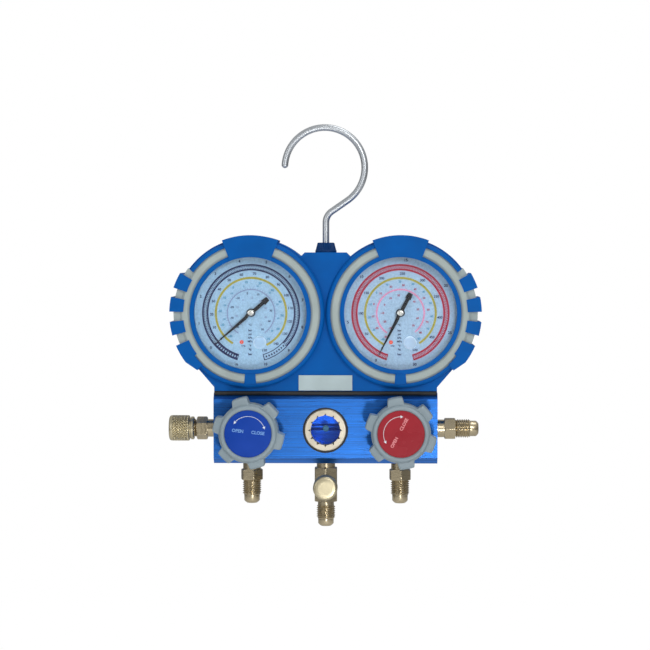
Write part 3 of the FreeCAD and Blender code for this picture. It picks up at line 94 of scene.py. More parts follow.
def srgb(red, green, blue):
    """Linear colour of a colour given from 0 to 255 as it shows on a screen."""
    shown = np.array((red, green, blue)) / 255
    linear = np.where(shown <= 0.04045, shown / 12.92, ((shown + 0.055) / 1.055) ** 2.4)
    return (*[float(part) for part in linear], 1.0)


def shade(color, factor):
    """A colour made lighter or darker by a factor."""
    return (*[min(part * factor, 1.0) for part in color[:3]], 1.0)


class Finish:
    """A material whose colour, roughness and relief vary with fine noise."""

    def __init__(self, name, color, rough, **sockets):
        self.material = bpy.data.materials.new(name)
        self.material.use_nodes = True
        self.tree = self.material.node_tree
        self.shader = self.tree.nodes["Principled BSDF"]
        self.color = color
        self.rough = rough
        self.shader.inputs["Base Color"].default_value = color
        self.shader.inputs["Roughness"].default_value = rough
        for socket, amount in sockets.items():
            self.shader.inputs[socket.replace("_", " ")].default_value = amount
        self.material.diffuse_color = color

    def node(self, kind, **settings):
        made = self.tree.nodes.new("ShaderNode" + kind)
        for key, setting in settings.items():
            setattr(made, key, setting)
        return made

    def link(self, output, entry):
        self.tree.links.new(output, entry)

    def noise(self, scale, stretch=(1, 1, 1), detail=2, source="Object"):
        """Noise over the piece, per metre, squeezed along each axis by stretch."""
        place = self.node("TexCoord")
        mapping = self.node("Mapping")
        mapping.inputs["Scale"].default_value = [scale * part for part in stretch]
        self.link(place.outputs[source], mapping.inputs["Vector"])
        grain = self.node("TexNoise")
        grain.inputs["Scale"].default_value = 1.0
        grain.inputs["Detail"].default_value = detail
        self.link(mapping.outputs["Vector"], grain.inputs["Vector"])
        return grain.outputs["Fac"]

    def ranged(self, value, low, high):
        """Noise, which lies mostly between 0.3 and 0.7, spread from low to high."""
        spread = self.node("MapRange")
        spread.inputs["From Min"].default_value = 0.3
        spread.inputs["From Max"].default_value = 0.7
        spread.inputs["To Min"].default_value = low
        spread.inputs["To Max"].default_value = high
        self.link(value, spread.inputs["Value"])
        return spread.outputs["Result"]

    def tint(self, value, darker, lighter):
        """Base colour between a darker and a lighter shade of the finish.

        A Mix node keeps sockets for other data too: input 0 is its share, output 2 its colour.
        """
        mix = self.node("Mix", data_type="RGBA")
        for socket in mix.inputs:
            if socket.type == "RGBA":
                factor = darker if socket.name == "A" else lighter
                socket.default_value = shade(self.color, factor)
        self.link(self.ranged(value, 0, 1), mix.inputs[0])
        self.link(mix.outputs[2], self.shader.inputs["Base Color"])

    def gloss(self, value, spread):
        """Roughness that wanders to either side of the finish's own."""
        wander = self.ranged(value, self.rough - spread, self.rough + spread)
        self.link(wander, self.shader.inputs["Roughness"])

    def bump(self, value, height):
        """Relief of a height in metres."""
        lift = self.node("Bump")
        lift.inputs["Strength"].default_value = 1.0
        lift.inputs["Distance"].default_value = height
        self.link(value, lift.inputs["Height"])
        self.link(lift.outputs["Normal"], self.shader.inputs["Normal"])


def moulded(name, color, rough, grain=2500, height=0.00003, **sockets):
    """Moulded plastic or rubber: fine grain, with soft clouds in its colour and gloss."""
    finish = Finish(name, color, rough, **sockets)
    clouds = finish.noise(60, detail=3)
    finish.tint(clouds, 0.9, 1.08)
    finish.gloss(clouds, 0.06)
    finish.bump(finish.noise(grain), height)
    return finish.material


def turned(name, color, rough):
    """Turned metal: a fine grain and a little tarnish."""
    finish = Finish(name, color, rough, Metallic=1.0)
    finish.tint(finish.noise(90), 0.84, 1.1)
    marks = finish.noise(900)
    finish.gloss(marks, 0.05)
    finish.bump(marks, 0.000002)
    return finish.material


def lathed(name, color, rough):
    """Metal of a turned piece, its marks running round it along the piece's own UV map."""
    finish = Finish(name, color, rough, Metallic=1.0)
    finish.tint(finish.noise(90), 0.86, 1.1)
    marks = finish.noise(1, (3, 500, 1), source="UV")
    finish.gloss(marks, 0.05)
    finish.bump(marks, 0.000002)
    return finish.material


def printed(name, color, rough=0.45):
    """Ink on a dial or a disc, or dull paint, a little uneven."""
    finish = Finish(name, color, rough, Specular_IOR_Level=0.06)
    finish.tint(finish.noise(900), 0.88, 1.1)
    return finish.material


def clear(name, color, rough=0.02):
    """Clear plastic or glass that lets the light through to what lies behind it."""
    finish = Finish(name, color, rough, Transmission_Weight=1.0, IOR=1.45)
    finish.bump(finish.noise(120, detail=1), 0.00001)
    path = finish.node("LightPath")
    open_way = finish.node("BsdfTransparent")
    mix = finish.node("MixShader")
    output = finish.tree.nodes["Material Output"]
    finish.link(path.outputs["Is Shadow Ray"], mix.inputs[0])
    finish.link(finish.shader.outputs["BSDF"], mix.inputs[1])
    finish.link(open_way.outputs["BSDF"], mix.inputs[2])
    finish.link(mix.outputs["Shader"], output.inputs["Surface"])
    return finish.material


def anodised():
    """Blue anodised bar, brushed along its length."""
    finish = Finish("anodised_block", srgb(0, 108, 204), 0.32,
                    Metallic=0.9, Coat_Weight=0.8, Coat_Roughness=0.3)
    brush = finish.noise(1, (60, 3000, 3000), detail=4)
    finish.tint(finish.noise(1, (12, 1400, 1400), detail=5), 0.68, 1.25)
    finish.gloss(brush, 0.08)
    finish.bump(brush, 0.00003)
    return finish.material


def wire():
    """Drawn steel wire with faint dull patches."""
    finish = Finish("hook_wire", srgb(198, 203, 208), 0.38, Metallic=1.0)
    finish.tint(finish.noise(30), 0.9, 1.05)
    return finish.material


BRASS = srgb(190, 177, 148)
FINISHES = {
    "anodised_block": anodised(),
    "brass": turned("brass", BRASS, 0.3),
    "tube_bronze": turned("tube_bronze", srgb(190, 150, 100), 0.3),
    "brass_cap": lathed("brass_cap", srgb(196, 186, 156), 0.36),
    "seal_rubber": moulded("seal_rubber", srgb(28, 28, 28), 0.6),
    "sight_glass": clear("sight_glass", (0.3, 0.55, 0.9, 1.0)),
    "sight_ring": turned("sight_ring", srgb(206, 198, 180), 0.42),
    "steel": turned("steel", srgb(190, 192, 195), 0.25),
    "hook_wire": wire(),
    "boot_blue": moulded("boot_blue", srgb(0, 92, 174), 0.5, Specular_IOR_Level=0.1),
    "collar_blue": moulded("collar_blue", srgb(0, 56, 110), 0.5, Specular_IOR_Level=0.2),
    "trim_grey": moulded("trim_grey", srgb(170, 182, 180), 0.55, Specular_IOR_Level=0.25),
    "plate_silver": moulded("plate_silver", srgb(180, 198, 201), 0.4),
    "knob_grey": moulded("knob_grey", srgb(138, 154, 162), 0.42, grain=1800),
    "insert_blue": moulded("insert_blue", srgb(0, 62, 165), 0.3,
                           height=0.00001, Specular_IOR_Level=0.25),
    "insert_red": moulded("insert_red", srgb(158, 18, 36), 0.3,
                          height=0.00001, Specular_IOR_Level=0.25),
    "gauge_case": moulded("gauge_case", srgb(45, 45, 48), 0.4),
    "gauge_lens": clear("gauge_lens", (0.97, 0.99, 1.0, 1.0)),
    "low_dial": printed("low_dial", srgb(136, 168, 194), 0.6),
    "high_dial": printed("high_dial", srgb(138, 164, 188), 0.6),
    "pointer_black": printed("pointer_black", srgb(8, 10, 20), 0.7),
}
BRASS_LATHED = lathed("brass_turned", BRASS, 0.28)
HUB_METAL = lathed("hub_metal", srgb(190, 188, 182), 0.25)
NAVY = printed("ink_navy", srgb(4, 14, 66))
CRIMSON = printed("ink_crimson", srgb(146, 12, 44))
OLIVE = printed("ink_olive", srgb(146, 138, 44))
GREY_INK = printed("ink_grey", srgb(112, 126, 158))
PINK_INK = printed("ink_pink", srgb(196, 116, 150))
TEAL_INK = printed("ink_teal", srgb(36, 112, 146))
RED_INK = printed("ink_red", srgb(215, 70, 40))
WHITE_INK = printed("ink_white", srgb(225, 232, 240))
PALE_BLUE_INK = printed("ink_pale_blue", srgb(120, 165, 225))
PALE_RED_INK = printed("ink_pale_red", srgb(232, 150, 155))
SPOT = moulded("moisture_spot", srgb(120, 140, 120), 0.5)
FROSTED = clear("adjuster_plug", (0.94, 0.97, 1.0, 1.0), 0.3)

for entry in frame["record"]["subparts"]:
    mesh = nodes[entry["node"]].data
    mesh.materials.clear()
    mesh.materials.append(FINISHES[entry["material_slot"]])


# surfaces

def at(points, middle, heading):
    """Points in a piece's own directions, moved to their place."""
    return np.asarray(points, float) @ heading + np.asarray(middle, float)


def piece(name, mesh, body, material, angle=30):
    """Object of a finished mesh, in metres, riding on a body."""
    mesh.materials.append(material)
    mesh.shade_smooth()
    mesh.set_sharp_from_angle(angle=math.radians(angle))
    made = bpy.data.objects.new(name, mesh)
    bpy.context.scene.collection.objects.link(made)
    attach(made, body)
    return made


def grid_mesh(name, grid):
    """Closed mesh over a grid of points that joins up with itself both ways.

    Corner (i, j) is joined to (i + 1, j) and (i, j + 1). Rows on the axis collapse to a pole. The
    faces are turned over where the volume, the sum of a . (b x c) / 6, comes out negative.
    """
    rows, columns = grid.shape[:2]
    spot = np.arange(rows * columns).reshape(rows, columns)
    below = np.roll(spot, -1, 0)
    quads = np.stack((spot, np.roll(spot, -1, 1), np.roll(below, -1, 1), below), -1).reshape(-1, 4)
    corners = grid.reshape(-1, 3)
    a, b, c, d = (corners[quads[:, k]] for k in range(4))
    volume = np.einsum("ij,ij->i", a, np.cross(b, c) + np.cross(c, d)).sum()
    if volume < 0:
        quads = quads[:, ::-1]
    mesh = bpy.data.meshes.new(name)
    mesh.from_pydata(corners * MM, [], quads)
    u = np.tile(np.arange(columns) / columns, rows)
    step = np.linalg.norm(np.diff(grid[:, 0], axis=0), axis=1)
    v = np.repeat(np.concatenate(((0,), np.cumsum(step))) * MM, columns)
    layer = mesh.uv_layers.new(name="Around")
    layer.data.foreach_set("uv", np.stack((u, v), 1)[quads.ravel()].ravel())
    work = bmesh.new()
    work.from_mesh(mesh)
    bmesh.ops.remove_doubles(work, verts=work.verts, dist=1e-7)
    bmesh.ops.dissolve_degenerate(work, edges=work.edges, dist=1e-7)
    work.to_mesh(mesh)
    work.free()
    return mesh


def ring(count):
    """Angles round a full turn, in degrees."""
    return np.arange(count) * 360.0 / count


def swept_round(radii, levels, angles):
    """Grid of radius(row, angle) at level(row) about the piece's own z."""
    turn = np.radians(angles)[None, :]
    radii = np.broadcast_to(radii, (len(levels), len(angles)))
    across = (radii * np.cos(turn), radii * np.sin(turn))
    return np.stack((*across, np.broadcast_to(np.asarray(levels, float)[:, None], radii.shape)), -1)


def lathe(name, profile, middle, body, material, count=64):
    """Profile of (radius, level) corners, turned about an axis that points to the front."""
    profile = np.array(profile, float)
    grid = swept_round(profile[:, :1], profile[:, 1], ring(count))
    piece(name, grid_mesh(name, at(grid, middle, FRONT)), body, material)


def saw(value):
    """Wave that climbs from 0 to 1 and falls back once per unit."""
    return 1 - np.abs(2 * (value % 1.0) - 1)


# threaded ports

PITCH = 1.27
CREST = 5.556
GROOVE = 0.72
SHANK = 4.9
BORE = 2.4
PORT_STEPS = 180


def thread_rows(start, length, angles):
    """Levels and radii of a screw thread: a groove that falls with the angle, run out at both ends.

    radius = crest - groove * steep wave of (level / pitch - angle / 360)
    """
    levels = start + np.linspace(0, length, int(length / PITCH * 12) + 1)
    wave = saw(levels[:, None] / PITCH - angles[None, :] / 360)
    flat = np.clip(wave * 1.6 - 0.3, 0, 1)
    near_end = np.minimum(levels - start, start + length - levels)[:, None]
    chamfer = np.clip(0.9 - near_end, 0, 0.7)
    return levels, np.minimum(CREST - GROOVE * (1 - flat), CREST - chamfer)


def hexagon_rows(start, length, flats, spin, angles):
    """Levels and radii of a hexagon: half flats / cos(angle from the flat), cut back by a bevel."""
    edge = np.array((0, 0.12, 0.3, 0.6, 0.6))
    levels = start + np.concatenate((edge, length - edge[::-1]))
    lean = np.radians((angles - spin) % 60 - 30)
    flat = flats / 2 / np.cos(lean)
    depth = np.minimum(levels - start, start + length - levels)[:, None]
    bevel = flats / 2 + 0.15 + depth * 2.2
    return levels, np.minimum(flat[None, :], bevel)


def nose_rows(start, length, radius):
    """Levels and radii of a flare's nose: straight, then cut back towards its mouth."""
    levels = start + np.array((0, length - 1.6, length - 0.9, length - 0.25, length))
    return levels, radius - np.array(((0.0,), (0.0,), (0.5,), (1.3,), (1.7,)))


def port(name, middle, heading, foot, parts):
    """Turned and threaded fitting: its shank, then each part outwards, then back along the bore.

    A part is its kind, length, radius or width over flats, and its hexagon's turn in degrees.
    """
    angles = ring(PORT_STEPS)
    sections = [(np.array((-foot, -foot, 0.0)), np.array(((BORE,), (SHANK,), (SHANK,))))]
    start = 0.0
    for kind, length, size, spin in parts:
        if kind == "hexagon":
            sections.append(hexagon_rows(start, length, size, spin, angles))
        elif kind == "thread":
            sections.append(thread_rows(start, length, angles))
        elif kind == "nose":
            sections.append(nose_rows(start, length, size))
        else:
            sections.append((np.array((start, start + length)), np.full((2, 1), float(size))))
        start += length
    sections.append((np.array((start, start - 0.3)), np.array(((BORE + 0.3,), (BORE,)))))
    levels = np.concatenate([rows for rows, _ in sections])
    radii = [np.broadcast_to(wide, (len(rows), PORT_STEPS)) for rows, wide in sections]
    grid = swept_round(np.concatenate(radii), levels, angles)
    mesh = grid_mesh(name, at(grid, middle, heading))
    return piece(name, mesh, "manifold", BRASS_LATHED, 40)


def union_parts(spin):
    """Parts of a flare union, its hexagon turned by some degrees."""
    return (
        ("round", 4.6, 5.3, 0),
        ("hexagon", 6.4, 12, spin),
        ("thread", 9.0, 0, 0),
        ("nose", 4.9, 4.65, 0),
    )


for name, node_name, middle, heading, spin in (
    ("low_side_fitting", "low_side_port", (BLOCK_LOW[0], 0, AXIS), LEFT, 0),
    ("high_side_fitting", "high_side_port", (BLOCK_HIGH[0], 0, AXIS), RIGHT, 30),
    ("low_bottom_fitting", "low_bottom_port", (-SIDE, 0, BLOCK_LOW[2]), DOWN, 17),
    ("high_bottom_fitting", "high_bottom_port", (SIDE, 0, BLOCK_LOW[2]), DOWN, 24),
):
    union = port(name, middle, heading, 9, union_parts(spin))
    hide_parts(node_name)

# the tee hangs below the block, and its branch points to the front
BLOCK_HALF_HEIGHT = 20
BRANCH_DROP = 13.9
BRANCH = AXIS - BLOCK_HALF_HEIGHT - BRANCH_DROP
tee_body = port("tee_fitting", (0, 0, BLOCK_LOW[2]), DOWN, 7, (
    ("round", 3.5, 5.5, 0),
    ("hexagon", 20.4, 13.3, 30),
    ("round", 2.1, 4.8, 0),
    ("thread", 8.3, 0, 0),
    ("nose", 4.4, 4.65, 0),
))
tee_branch = port("tee_branch", (0, 0, BRANCH), FRONT, -2.4, (
    ("round", 8.55, 4.65, 0),
    ("thread", 7.0, 0, 0),
    ("nose", 3.0, 4.65, 0),
))
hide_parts("center_tee")
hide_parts("center_tee")


def drill(made, middle, heading, radius, start, end):
    """Cut a round hole of a radius, between two levels, out of a finished piece."""
    radii = np.array(((0.0,), (radius,), (radius,), (0.0,)))
    grid = swept_round(radii, (start, start, end, end), ring(48))
    cutter = bpy.data.objects.new("cutter", grid_mesh("cutter", at(grid, middle, heading)))
    bpy.context.scene.collection.objects.link(cutter)
    cut = made.modifiers.new("hole", "BOOLEAN")
    cut.object = cutter
    cut.solver = "EXACT"
    bpy.context.view_layer.update()
    whole = made.data
    graph = bpy.context.evaluated_depsgraph_get()
    made.data = bpy.data.meshes.new_from_object(made.evaluated_get(graph))
    made.modifiers.clear()
    bpy.data.meshes.remove(whole)
    shape = cutter.data
    bpy.data.objects.remove(cutter)
    bpy.data.meshes.remove(shape)


# the branch's bore goes on through the tee's wall, so the pressed pin has room
drill(tee_body, (0, 0, BRANCH), FRONT, BORE, 0.6, 9.5)


# knurled caps

CAP_BORE = 5.856
CAP_STEPS = 324
KNURLS = 27
KNURL_CLIMB = 1.75
KNURL_DEPTH = 0.55
KNURL_FADE = 0.4


def knurl_rows(radius, start, length, angles):
    """Levels and radii of a knurl of diamonds, faded out at both ends.

    radius - depth * (1 - the lower of two steep waves that climb opposite ways round)
    """
    levels = start + np.linspace(0, length, 61)
    turns = angles[None, :] / 360 * KNURLS
    climb = levels[:, None] / KNURL_CLIMB
    waves = np.minimum(saw(turns + climb), saw(turns - climb))
    near_end = np.minimum(levels - start, start + length - levels)
    depth = KNURL_DEPTH * np.clip(near_end, 0, KNURL_FADE) / KNURL_FADE
    return levels, radius - 0.05 - depth[:, None] * (1 - np.clip(waves * 2.2, 0, 1))


def cap(name, node_name, body, middle, heading, radius, back, length, knurl, floor):
    """Dust cap: collar, knurled drum and bevelled end, over a plain bore down to its floor."""
    end = back + length
    before = np.array((
        (CAP_BORE, back), (6.5, back), (6.9, back + 0.45), (6.9, back + 1.7), (6.3, back + 2.0),
        (6.3, back + 2.6), (radius - 0.6, back + 2.7), (radius - 0.1, back + 3.1),
    ))
    after = np.array((
        (radius - 0.1, end - 1.6), (radius - 0.15, end - 1.1), (radius - 0.5, end - 0.45),
        (radius - 1.1, end - 0.1), (radius - 1.5, end), (radius * 0.5, end), (0.0, end),
        (0.0, floor), (CAP_BORE, floor),
    ))
    angles = ring(CAP_STEPS)
    levels, knurled = knurl_rows(radius, *knurl, angles)
    wide = np.concatenate((
        np.repeat(before[:, :1], CAP_STEPS, 1),
        knurled,
        np.repeat(after[:, :1], CAP_STEPS, 1),
    ))
    levels = np.concatenate((before[:, 1], levels, after[:, 1]))
    mesh = grid_mesh(name, at(swept_round(wide, levels, angles), middle, heading))
    made = piece(name, mesh, body, FINISHES["brass_cap"], 40)
    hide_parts(node_name)


# the knurl is given by its start and its length
cap("side_knurled_cap", "low_side_cap", "side_dust_cap", (BLOCK_LOW[0], 0, AXIS), LEFT,
    radius=7.7, back=12.7, length=14.9, knurl=(16.1, 9.4), floor=26.2)
cap("access_knurled_cap", "access_cap", "access_dust_cap", (0, 0, BRANCH), FRONT,
    radius=7.3, back=10, length=12.4, knurl=(13.3, 7.2), floor=20.65)


# handwheels

LOW_WHEEL = (-SIDE, 0, AXIS)
HIGH_WHEEL = (SIDE, 0, AXIS)
LOBE_TIP = 21.1
VALLEY = 17.45

# a lobe's flank starts and ends this many degrees off the lobe's middle
LOBE_FLANK = (17.5, 11)

# radius, level and share of the lobe, from the back of the web round to the seat
WHEEL_ROWS = np.array((
    (3.1, 28.0, 0), (6.0, 28.0, 0), (6.0, 35.6, 0), (14.8, 35.6, 0), (14.8, 23.8, 0),
    (15.1, 23.5, 0), (17.0, 23.5, 0), (17.3, 23.8, 0), (17.35, 25.0, 0), (16.9, 25.0, 0.94),
    (17.2, 25.15, 0.98), (17.4, 25.6, 1), (17.45, 26.4, 1), (17.45, 36.9, 1), (17.4, 37.6, 0.99),
    (17.25, 38.1, 0.96), (17.0, 38.4, 0.9), (16.9, 38.55, 0.45), (16.85, 38.6, 0.04),
    (16.8, 38.65, 0), (16.65, 38.9, 0), (16.55, 39.4, 0), (16.5, 40.1, 0), (16.35, 40.7, 0),
    (16.05, 41.15, 0), (15.6, 41.42, 0), (15.1, 41.5, 0), (14.6, 41.45, 0), (14.2, 41.25, 0),
    (13.9, 40.9, 0), (13.78, 40.4, 0), (13.75, 39.2, 0), (3.8, 39.2, 0), (3.8, 37.0, 0),
    (1.55, 37.0, 0), (1.55, 36.0, 0), (3.1, 36.0, 0),
), float)


def lobed(angles, start):
    """How far six blunt, rounded lobes stand over the valley circle, the first of them at start.

    A flank rises from 0 to 1 along a smooth step, and the crown falls a little towards it.
    """
    foot, top = LOBE_FLANK
    off = np.abs((angles - start + 30) % 60 - 30)
    rise = np.clip((foot - off) / (foot - top), 0, 1)
    rise = rise * rise * (3 - 2 * rise)
    crown = 1 - 0.03 * np.clip(1 - off / top, 0, 1)
    return (LOBE_TIP - VALLEY) * rise * crown


def handwheel(side_word, middle, start):
    """Wheel made of the rows, a lobe of it at start, in degrees."""
    angles = ring(360)
    wide = WHEEL_ROWS[:, :1] + WHEEL_ROWS[:, 2:] * lobed(angles, start)[None, :]
    grid = swept_round(wide, WHEEL_ROWS[:, 1], angles)
    name = side_word + "_wheel"
    mesh = grid_mesh(name, at(grid, middle, FRONT))
    made = piece(name, mesh, side_word + "_handwheel", FINISHES["knob_grey"])
    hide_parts(side_word + "_knob")


handwheel("low", LOW_WHEEL, 45)
handwheel("high", HIGH_WHEEL, 40)


# hook and collar

CROOK = (-0.7, AXIS + 156.2)
HOOK_FOOT = AXIS + 91.3
WIRE = 2.0


def hook_path():
    """Line of the wire: upright stem, a bend of 8 mm, a short diagonal and the round crook."""
    turn = math.radians(55.3)
    radius, bend = 23.9, 8.0
    run = radius * math.cos(turn) + CROOK[0] - bend * (1 - math.cos(turn))
    rise = run * math.cos(turn) / math.sin(turn)
    top = CROOK[1] - (radius + bend) * math.sin(turn) - rise
    stem = np.linspace((0, HOOK_FOOT), (0, top), 12, endpoint=False)
    angle = np.linspace(math.pi, math.pi - turn, 16)
    curve = np.stack((bend + bend * np.cos(angle), top + bend * np.sin(angle)), 1)
    angle = np.linspace(-turn, math.radians(176), 120)
    crook = np.stack((CROOK[0] + radius * np.cos(angle), CROOK[1] + radius * np.sin(angle)), 1)
    return np.concatenate((stem, curve, crook))


def hook_rod():
    """Round wire carried along the line, square to it, closed by a half ball at the tip."""
    line = hook_path()
    ahead = np.gradient(line, axis=0)
    ahead /= np.linalg.norm(ahead, axis=1)[:, None]
    tip = np.radians(np.linspace(0, 90, 9))[1:]
    centers = np.concatenate((line[:1], line, line[-1] + WIRE * np.sin(tip)[:, None] * ahead[-1]))
    heading = np.concatenate((ahead[:1], ahead, np.repeat(ahead[-1:], len(tip), 0)))
    radii = np.concatenate(((0.0,), np.full(len(line), WIRE), WIRE * np.cos(tip)))
    around = np.radians(ring(40))[None, :, None]
    side = np.stack((heading[:, 1], np.zeros(len(heading)), -heading[:, 0]), 1)[:, None]
    out = np.array((0.0, -1.0, 0.0))[None, None]
    spots = np.stack((centers[:, 0], np.zeros(len(centers)), centers[:, 1]), 1)[:, None]
    grid = spots + radii[:, None, None] * (np.cos(around) * side + np.sin(around) * out)
    name = "hook_wire_rod"
    made = piece(name, grid_mesh(name, grid), "swivel_hook", FINISHES["hook_wire"])
    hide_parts("hook")


hook_rod()


COLLAR_HEIGHT = 5.9
RIBS = 30
RIB_DEPTH = 0.42

# radius, level and share of the ribs, from the foot in the boot up to the top
COLLAR_ROWS = np.array((
    (2.3, -5.0, 0), (4.0, -5.0, 0), (4.0, 0.0, 0), (6.3, 0.0, 0), (6.4, 0.15, 0), (6.4, 1.05, 0),
    (6.3, 1.2, 0), (6.2, 1.3, 0.4), (6.15, 1.6, 1), (5.85, 2.6, 1), (5.6, 3.6, 1), (5.35, 4.6, 1),
    (5.2, 5.3, 1), (4.9, 5.75, 0.3), (4.4, 5.9, 0), (2.6, 5.9, 0), (2.3, 5.7, 0),
), float)


def collar():
    """Bush with upright ribs: radius = cone - depth * wave of the angle, faded at both ends."""
    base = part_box("hook_collar")[1][2] / MM - COLLAR_HEIGHT
    angles = ring(240)
    wave = saw(angles / 360 * RIBS)[None, :]
    wide = COLLAR_ROWS[:, :1] - RIB_DEPTH * COLLAR_ROWS[:, 2:] * (1 - wave)
    grid = swept_round(wide, COLLAR_ROWS[:, 1], angles)
    name = "ribbed_collar"
    mesh = grid_mesh(name, at(grid, (0, 0, base), UP))
    made = piece(name, mesh, "manifold", FINISHES["collar_blue"], 35)
    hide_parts("hook_collar")


collar()


# printed dials

class Print:
    """Flat shapes of one ink, gathered into one thin mesh on a round face."""

    def __init__(self, middle, level, height=0.05):
        self.middle = middle
        self.level = level
        self.height = height
        self.points = []
        self.faces = []
        self.count = 0

    def slab(self, outline):
        """Flat closed outline, in order round it, raised by the ink's height: a strip of quads."""
        outline = np.asarray(outline, float)
        size = len(outline)
        low = np.column_stack((outline, np.full(size, self.level)))
        high = np.column_stack((outline, np.full(size, self.level + self.height)))
        self.points.append(np.concatenate((low, high)))
        around = np.arange(size)
        after = np.roll(around, -1)
        sides = np.stack((around, after, after + size, around + size), 1) + self.count
        half = size // 2
        step = np.arange(half - 1)
        top = np.stack((step, step + 1, size - 2 - step, size - 1 - step), 1)
        self.faces += sides.tolist()
        self.faces += (top[:, ::-1] + self.count).tolist()
        self.faces += (top + size + self.count).tolist()
        self.count += 2 * size

    def arc(self, inner, outer, start, end):
        """Part of a ring between two radii, from one angle to another, in degrees."""
        steps = max(int(abs(end - start) / 2), 1) + 1
        turn = np.radians(np.linspace(start, end, steps))
        ray = np.stack((np.cos(turn), np.sin(turn)), 1)
        self.slab(np.concatenate((ray * outer, ray[::-1] * inner)))

    def dashes(self, inner, outer, start, end, step, filled, shift=0.0):
        """Short arcs at equal steps, each over its share of a step."""
        for angle in np.arange(start + shift * step, end - filled * step + 0.01, step):
            self.arc(inner, outer, angle, angle + filled * step)

    def word(self, text, x, y, size, turn=0.0):
        """Letters or digits centred on a point, turned by some degrees."""
        curve = bpy.data.curves.new("letters", "FONT")
        curve.body = text
        curve.size = size
        curve.align_x = "CENTER"
        curve.align_y = "CENTER"
        curve.extrude = self.height / 2
        curve.offset = size * 0.035
        curve.resolution_u = 3
        holder = bpy.data.objects.new("letters", curve)
        shape = bpy.data.meshes.new_from_object(holder)
        spots = np.zeros(len(shape.vertices) * 3)
        shape.vertices.foreach_get("co", spots)
        spots = spots.reshape(-1, 3)
        lean = math.radians(turn)
        rotation = np.array(((math.cos(lean), math.sin(lean)), (-math.sin(lean), math.cos(lean))))
        flat = spots[:, :2] @ rotation + (x, y)
        self.points.append(np.column_stack((flat, spots[:, 2] + self.level + self.height / 2)))
        self.faces += [[corner + self.count for corner in face.vertices] for face in shape.polygons]
        self.count += len(spots)
        bpy.data.objects.remove(holder)
        bpy.data.curves.remove(curve)
        bpy.data.meshes.remove(shape)

    def done(self, name, body, material):
        """Piece made of all the shapes, facing the front."""
        mesh = bpy.data.meshes.new(name)
        mesh.from_pydata(at(np.concatenate(self.points), self.middle, FRONT) * MM, [], self.faces)
        return piece(name, mesh, body, material)


def around_dial(ink, numbers, radius, start, end, size):
    """Numbers at equal steps along an arc, upright."""
    for number, angle in zip(numbers, np.linspace(start, end, len(numbers))):
        turn = math.radians(angle)
        ink.word(str(number), radius * math.cos(turn), radius * math.sin(turn), size)


# the scales run clockwise, from lower left to lower right, in a band between two radii
SCALE_START = 253.7
SCALE_END = -74.4
BAND_IN = 25.4
BAND_OUT = 29.2
OUTER_NUMBERS = 31.6
INNER_NUMBERS = 23.5

# each unit of the column stands this far below the hub
UNITS = (
    ("°C", 7.0), ("bar", 10.2), ("psi", 12.4), ("kPa", 14.6), ("MPa", 16.8), ("°F", 19.4),
    ("kg", 21.4),
)


def low_end(ink, number):
    """Small number at the low end of the outer scale."""
    around_dial(ink, (number,), 31.9, 254, 254, 1.7)


def unit_column(ink):
    """Names of the units, below the hub."""
    for text, drop in UNITS:
        ink.word(text, -0.6, -drop, 1.7)
    ink.word("inHg", -4.6, -19.4, 1.2)
    ink.word("bar", -0.5, -24.4, 1.9)


def low_face(middle):
    """Blue gauge: chequered navy tracks, an olive arc, a grey arc and rows of small numbers.

    The tracks are chequered from zero to the coarse end, and hatched on either side of that.
    """
    zero = SCALE_START - 33
    coarse = SCALE_END + 31
    navy = Print(middle, DIAL_FACE)
    navy.arc(28.25, BAND_OUT, coarse, zero)
    navy.dashes(27.4, 28.25, coarse, zero, 2.1, 0.55)
    navy.arc(BAND_IN, 26.3, coarse, zero)
    navy.dashes(26.3, 27.1, coarse, zero, 2.1, 0.55, 0.5)
    navy.arc(27.9, BAND_OUT, zero, SCALE_START)
    navy.arc(BAND_IN, 26.7, zero, SCALE_START)
    navy.dashes(26.7, 27.9, zero, SCALE_START, 3.3, 0.5)
    navy.arc(25.45, BAND_OUT, SCALE_START - 0.8, SCALE_START)
    navy.arc(28.7, BAND_OUT, SCALE_END, coarse)
    navy.arc(BAND_IN, 25.9, SCALE_END, coarse)
    navy.arc(BAND_IN, BAND_OUT, SCALE_END, SCALE_END + 1.1)
    navy.dashes(26.8, 27.9, SCALE_END + 3, SCALE_END + 30, 3.6, 0.5)
    around_dial(navy, range(11), OUTER_NUMBERS, zero, SCALE_END, 2.3)
    low_end(navy, -76)
    around_dial(navy, range(0, 160, 10), INNER_NUMBERS, zero, SCALE_END + 4, 2.1)
    around_dial(navy, range(-40, 60, 10), 11.8, 225, -55, 1.7)
    unit_column(navy)
    navy.done("low_dial_navy_print", "manifold", NAVY)
    olive = Print(middle, DIAL_FACE)
    olive.arc(20.3, 21.6, -64.3, 239)
    olive.done("low_dial_olive_print", "manifold", OLIVE)
    grey = Print(middle, DIAL_FACE)
    grey.arc(13.7, 14.4, -55, 238)
    grey.dashes(14.4, 15.2, -55, 238, 5.86, 0.14)
    around_dial(grey, range(-30, 60, 10), 9.0, 225, -50, 1.6)
    grey.done("low_dial_grey_print", "manifold", GREY_INK)
    teal = Print(middle, DIAL_FACE)
    around_dial(teal, range(-40, 80, 10), 18.5, 228, -56, 1.9)
    around_dial(teal, range(-40, 60, 10), 16.4, 222, -40, 1.4)
    teal.done("low_dial_teal_print", "manifold", TEAL_INK)


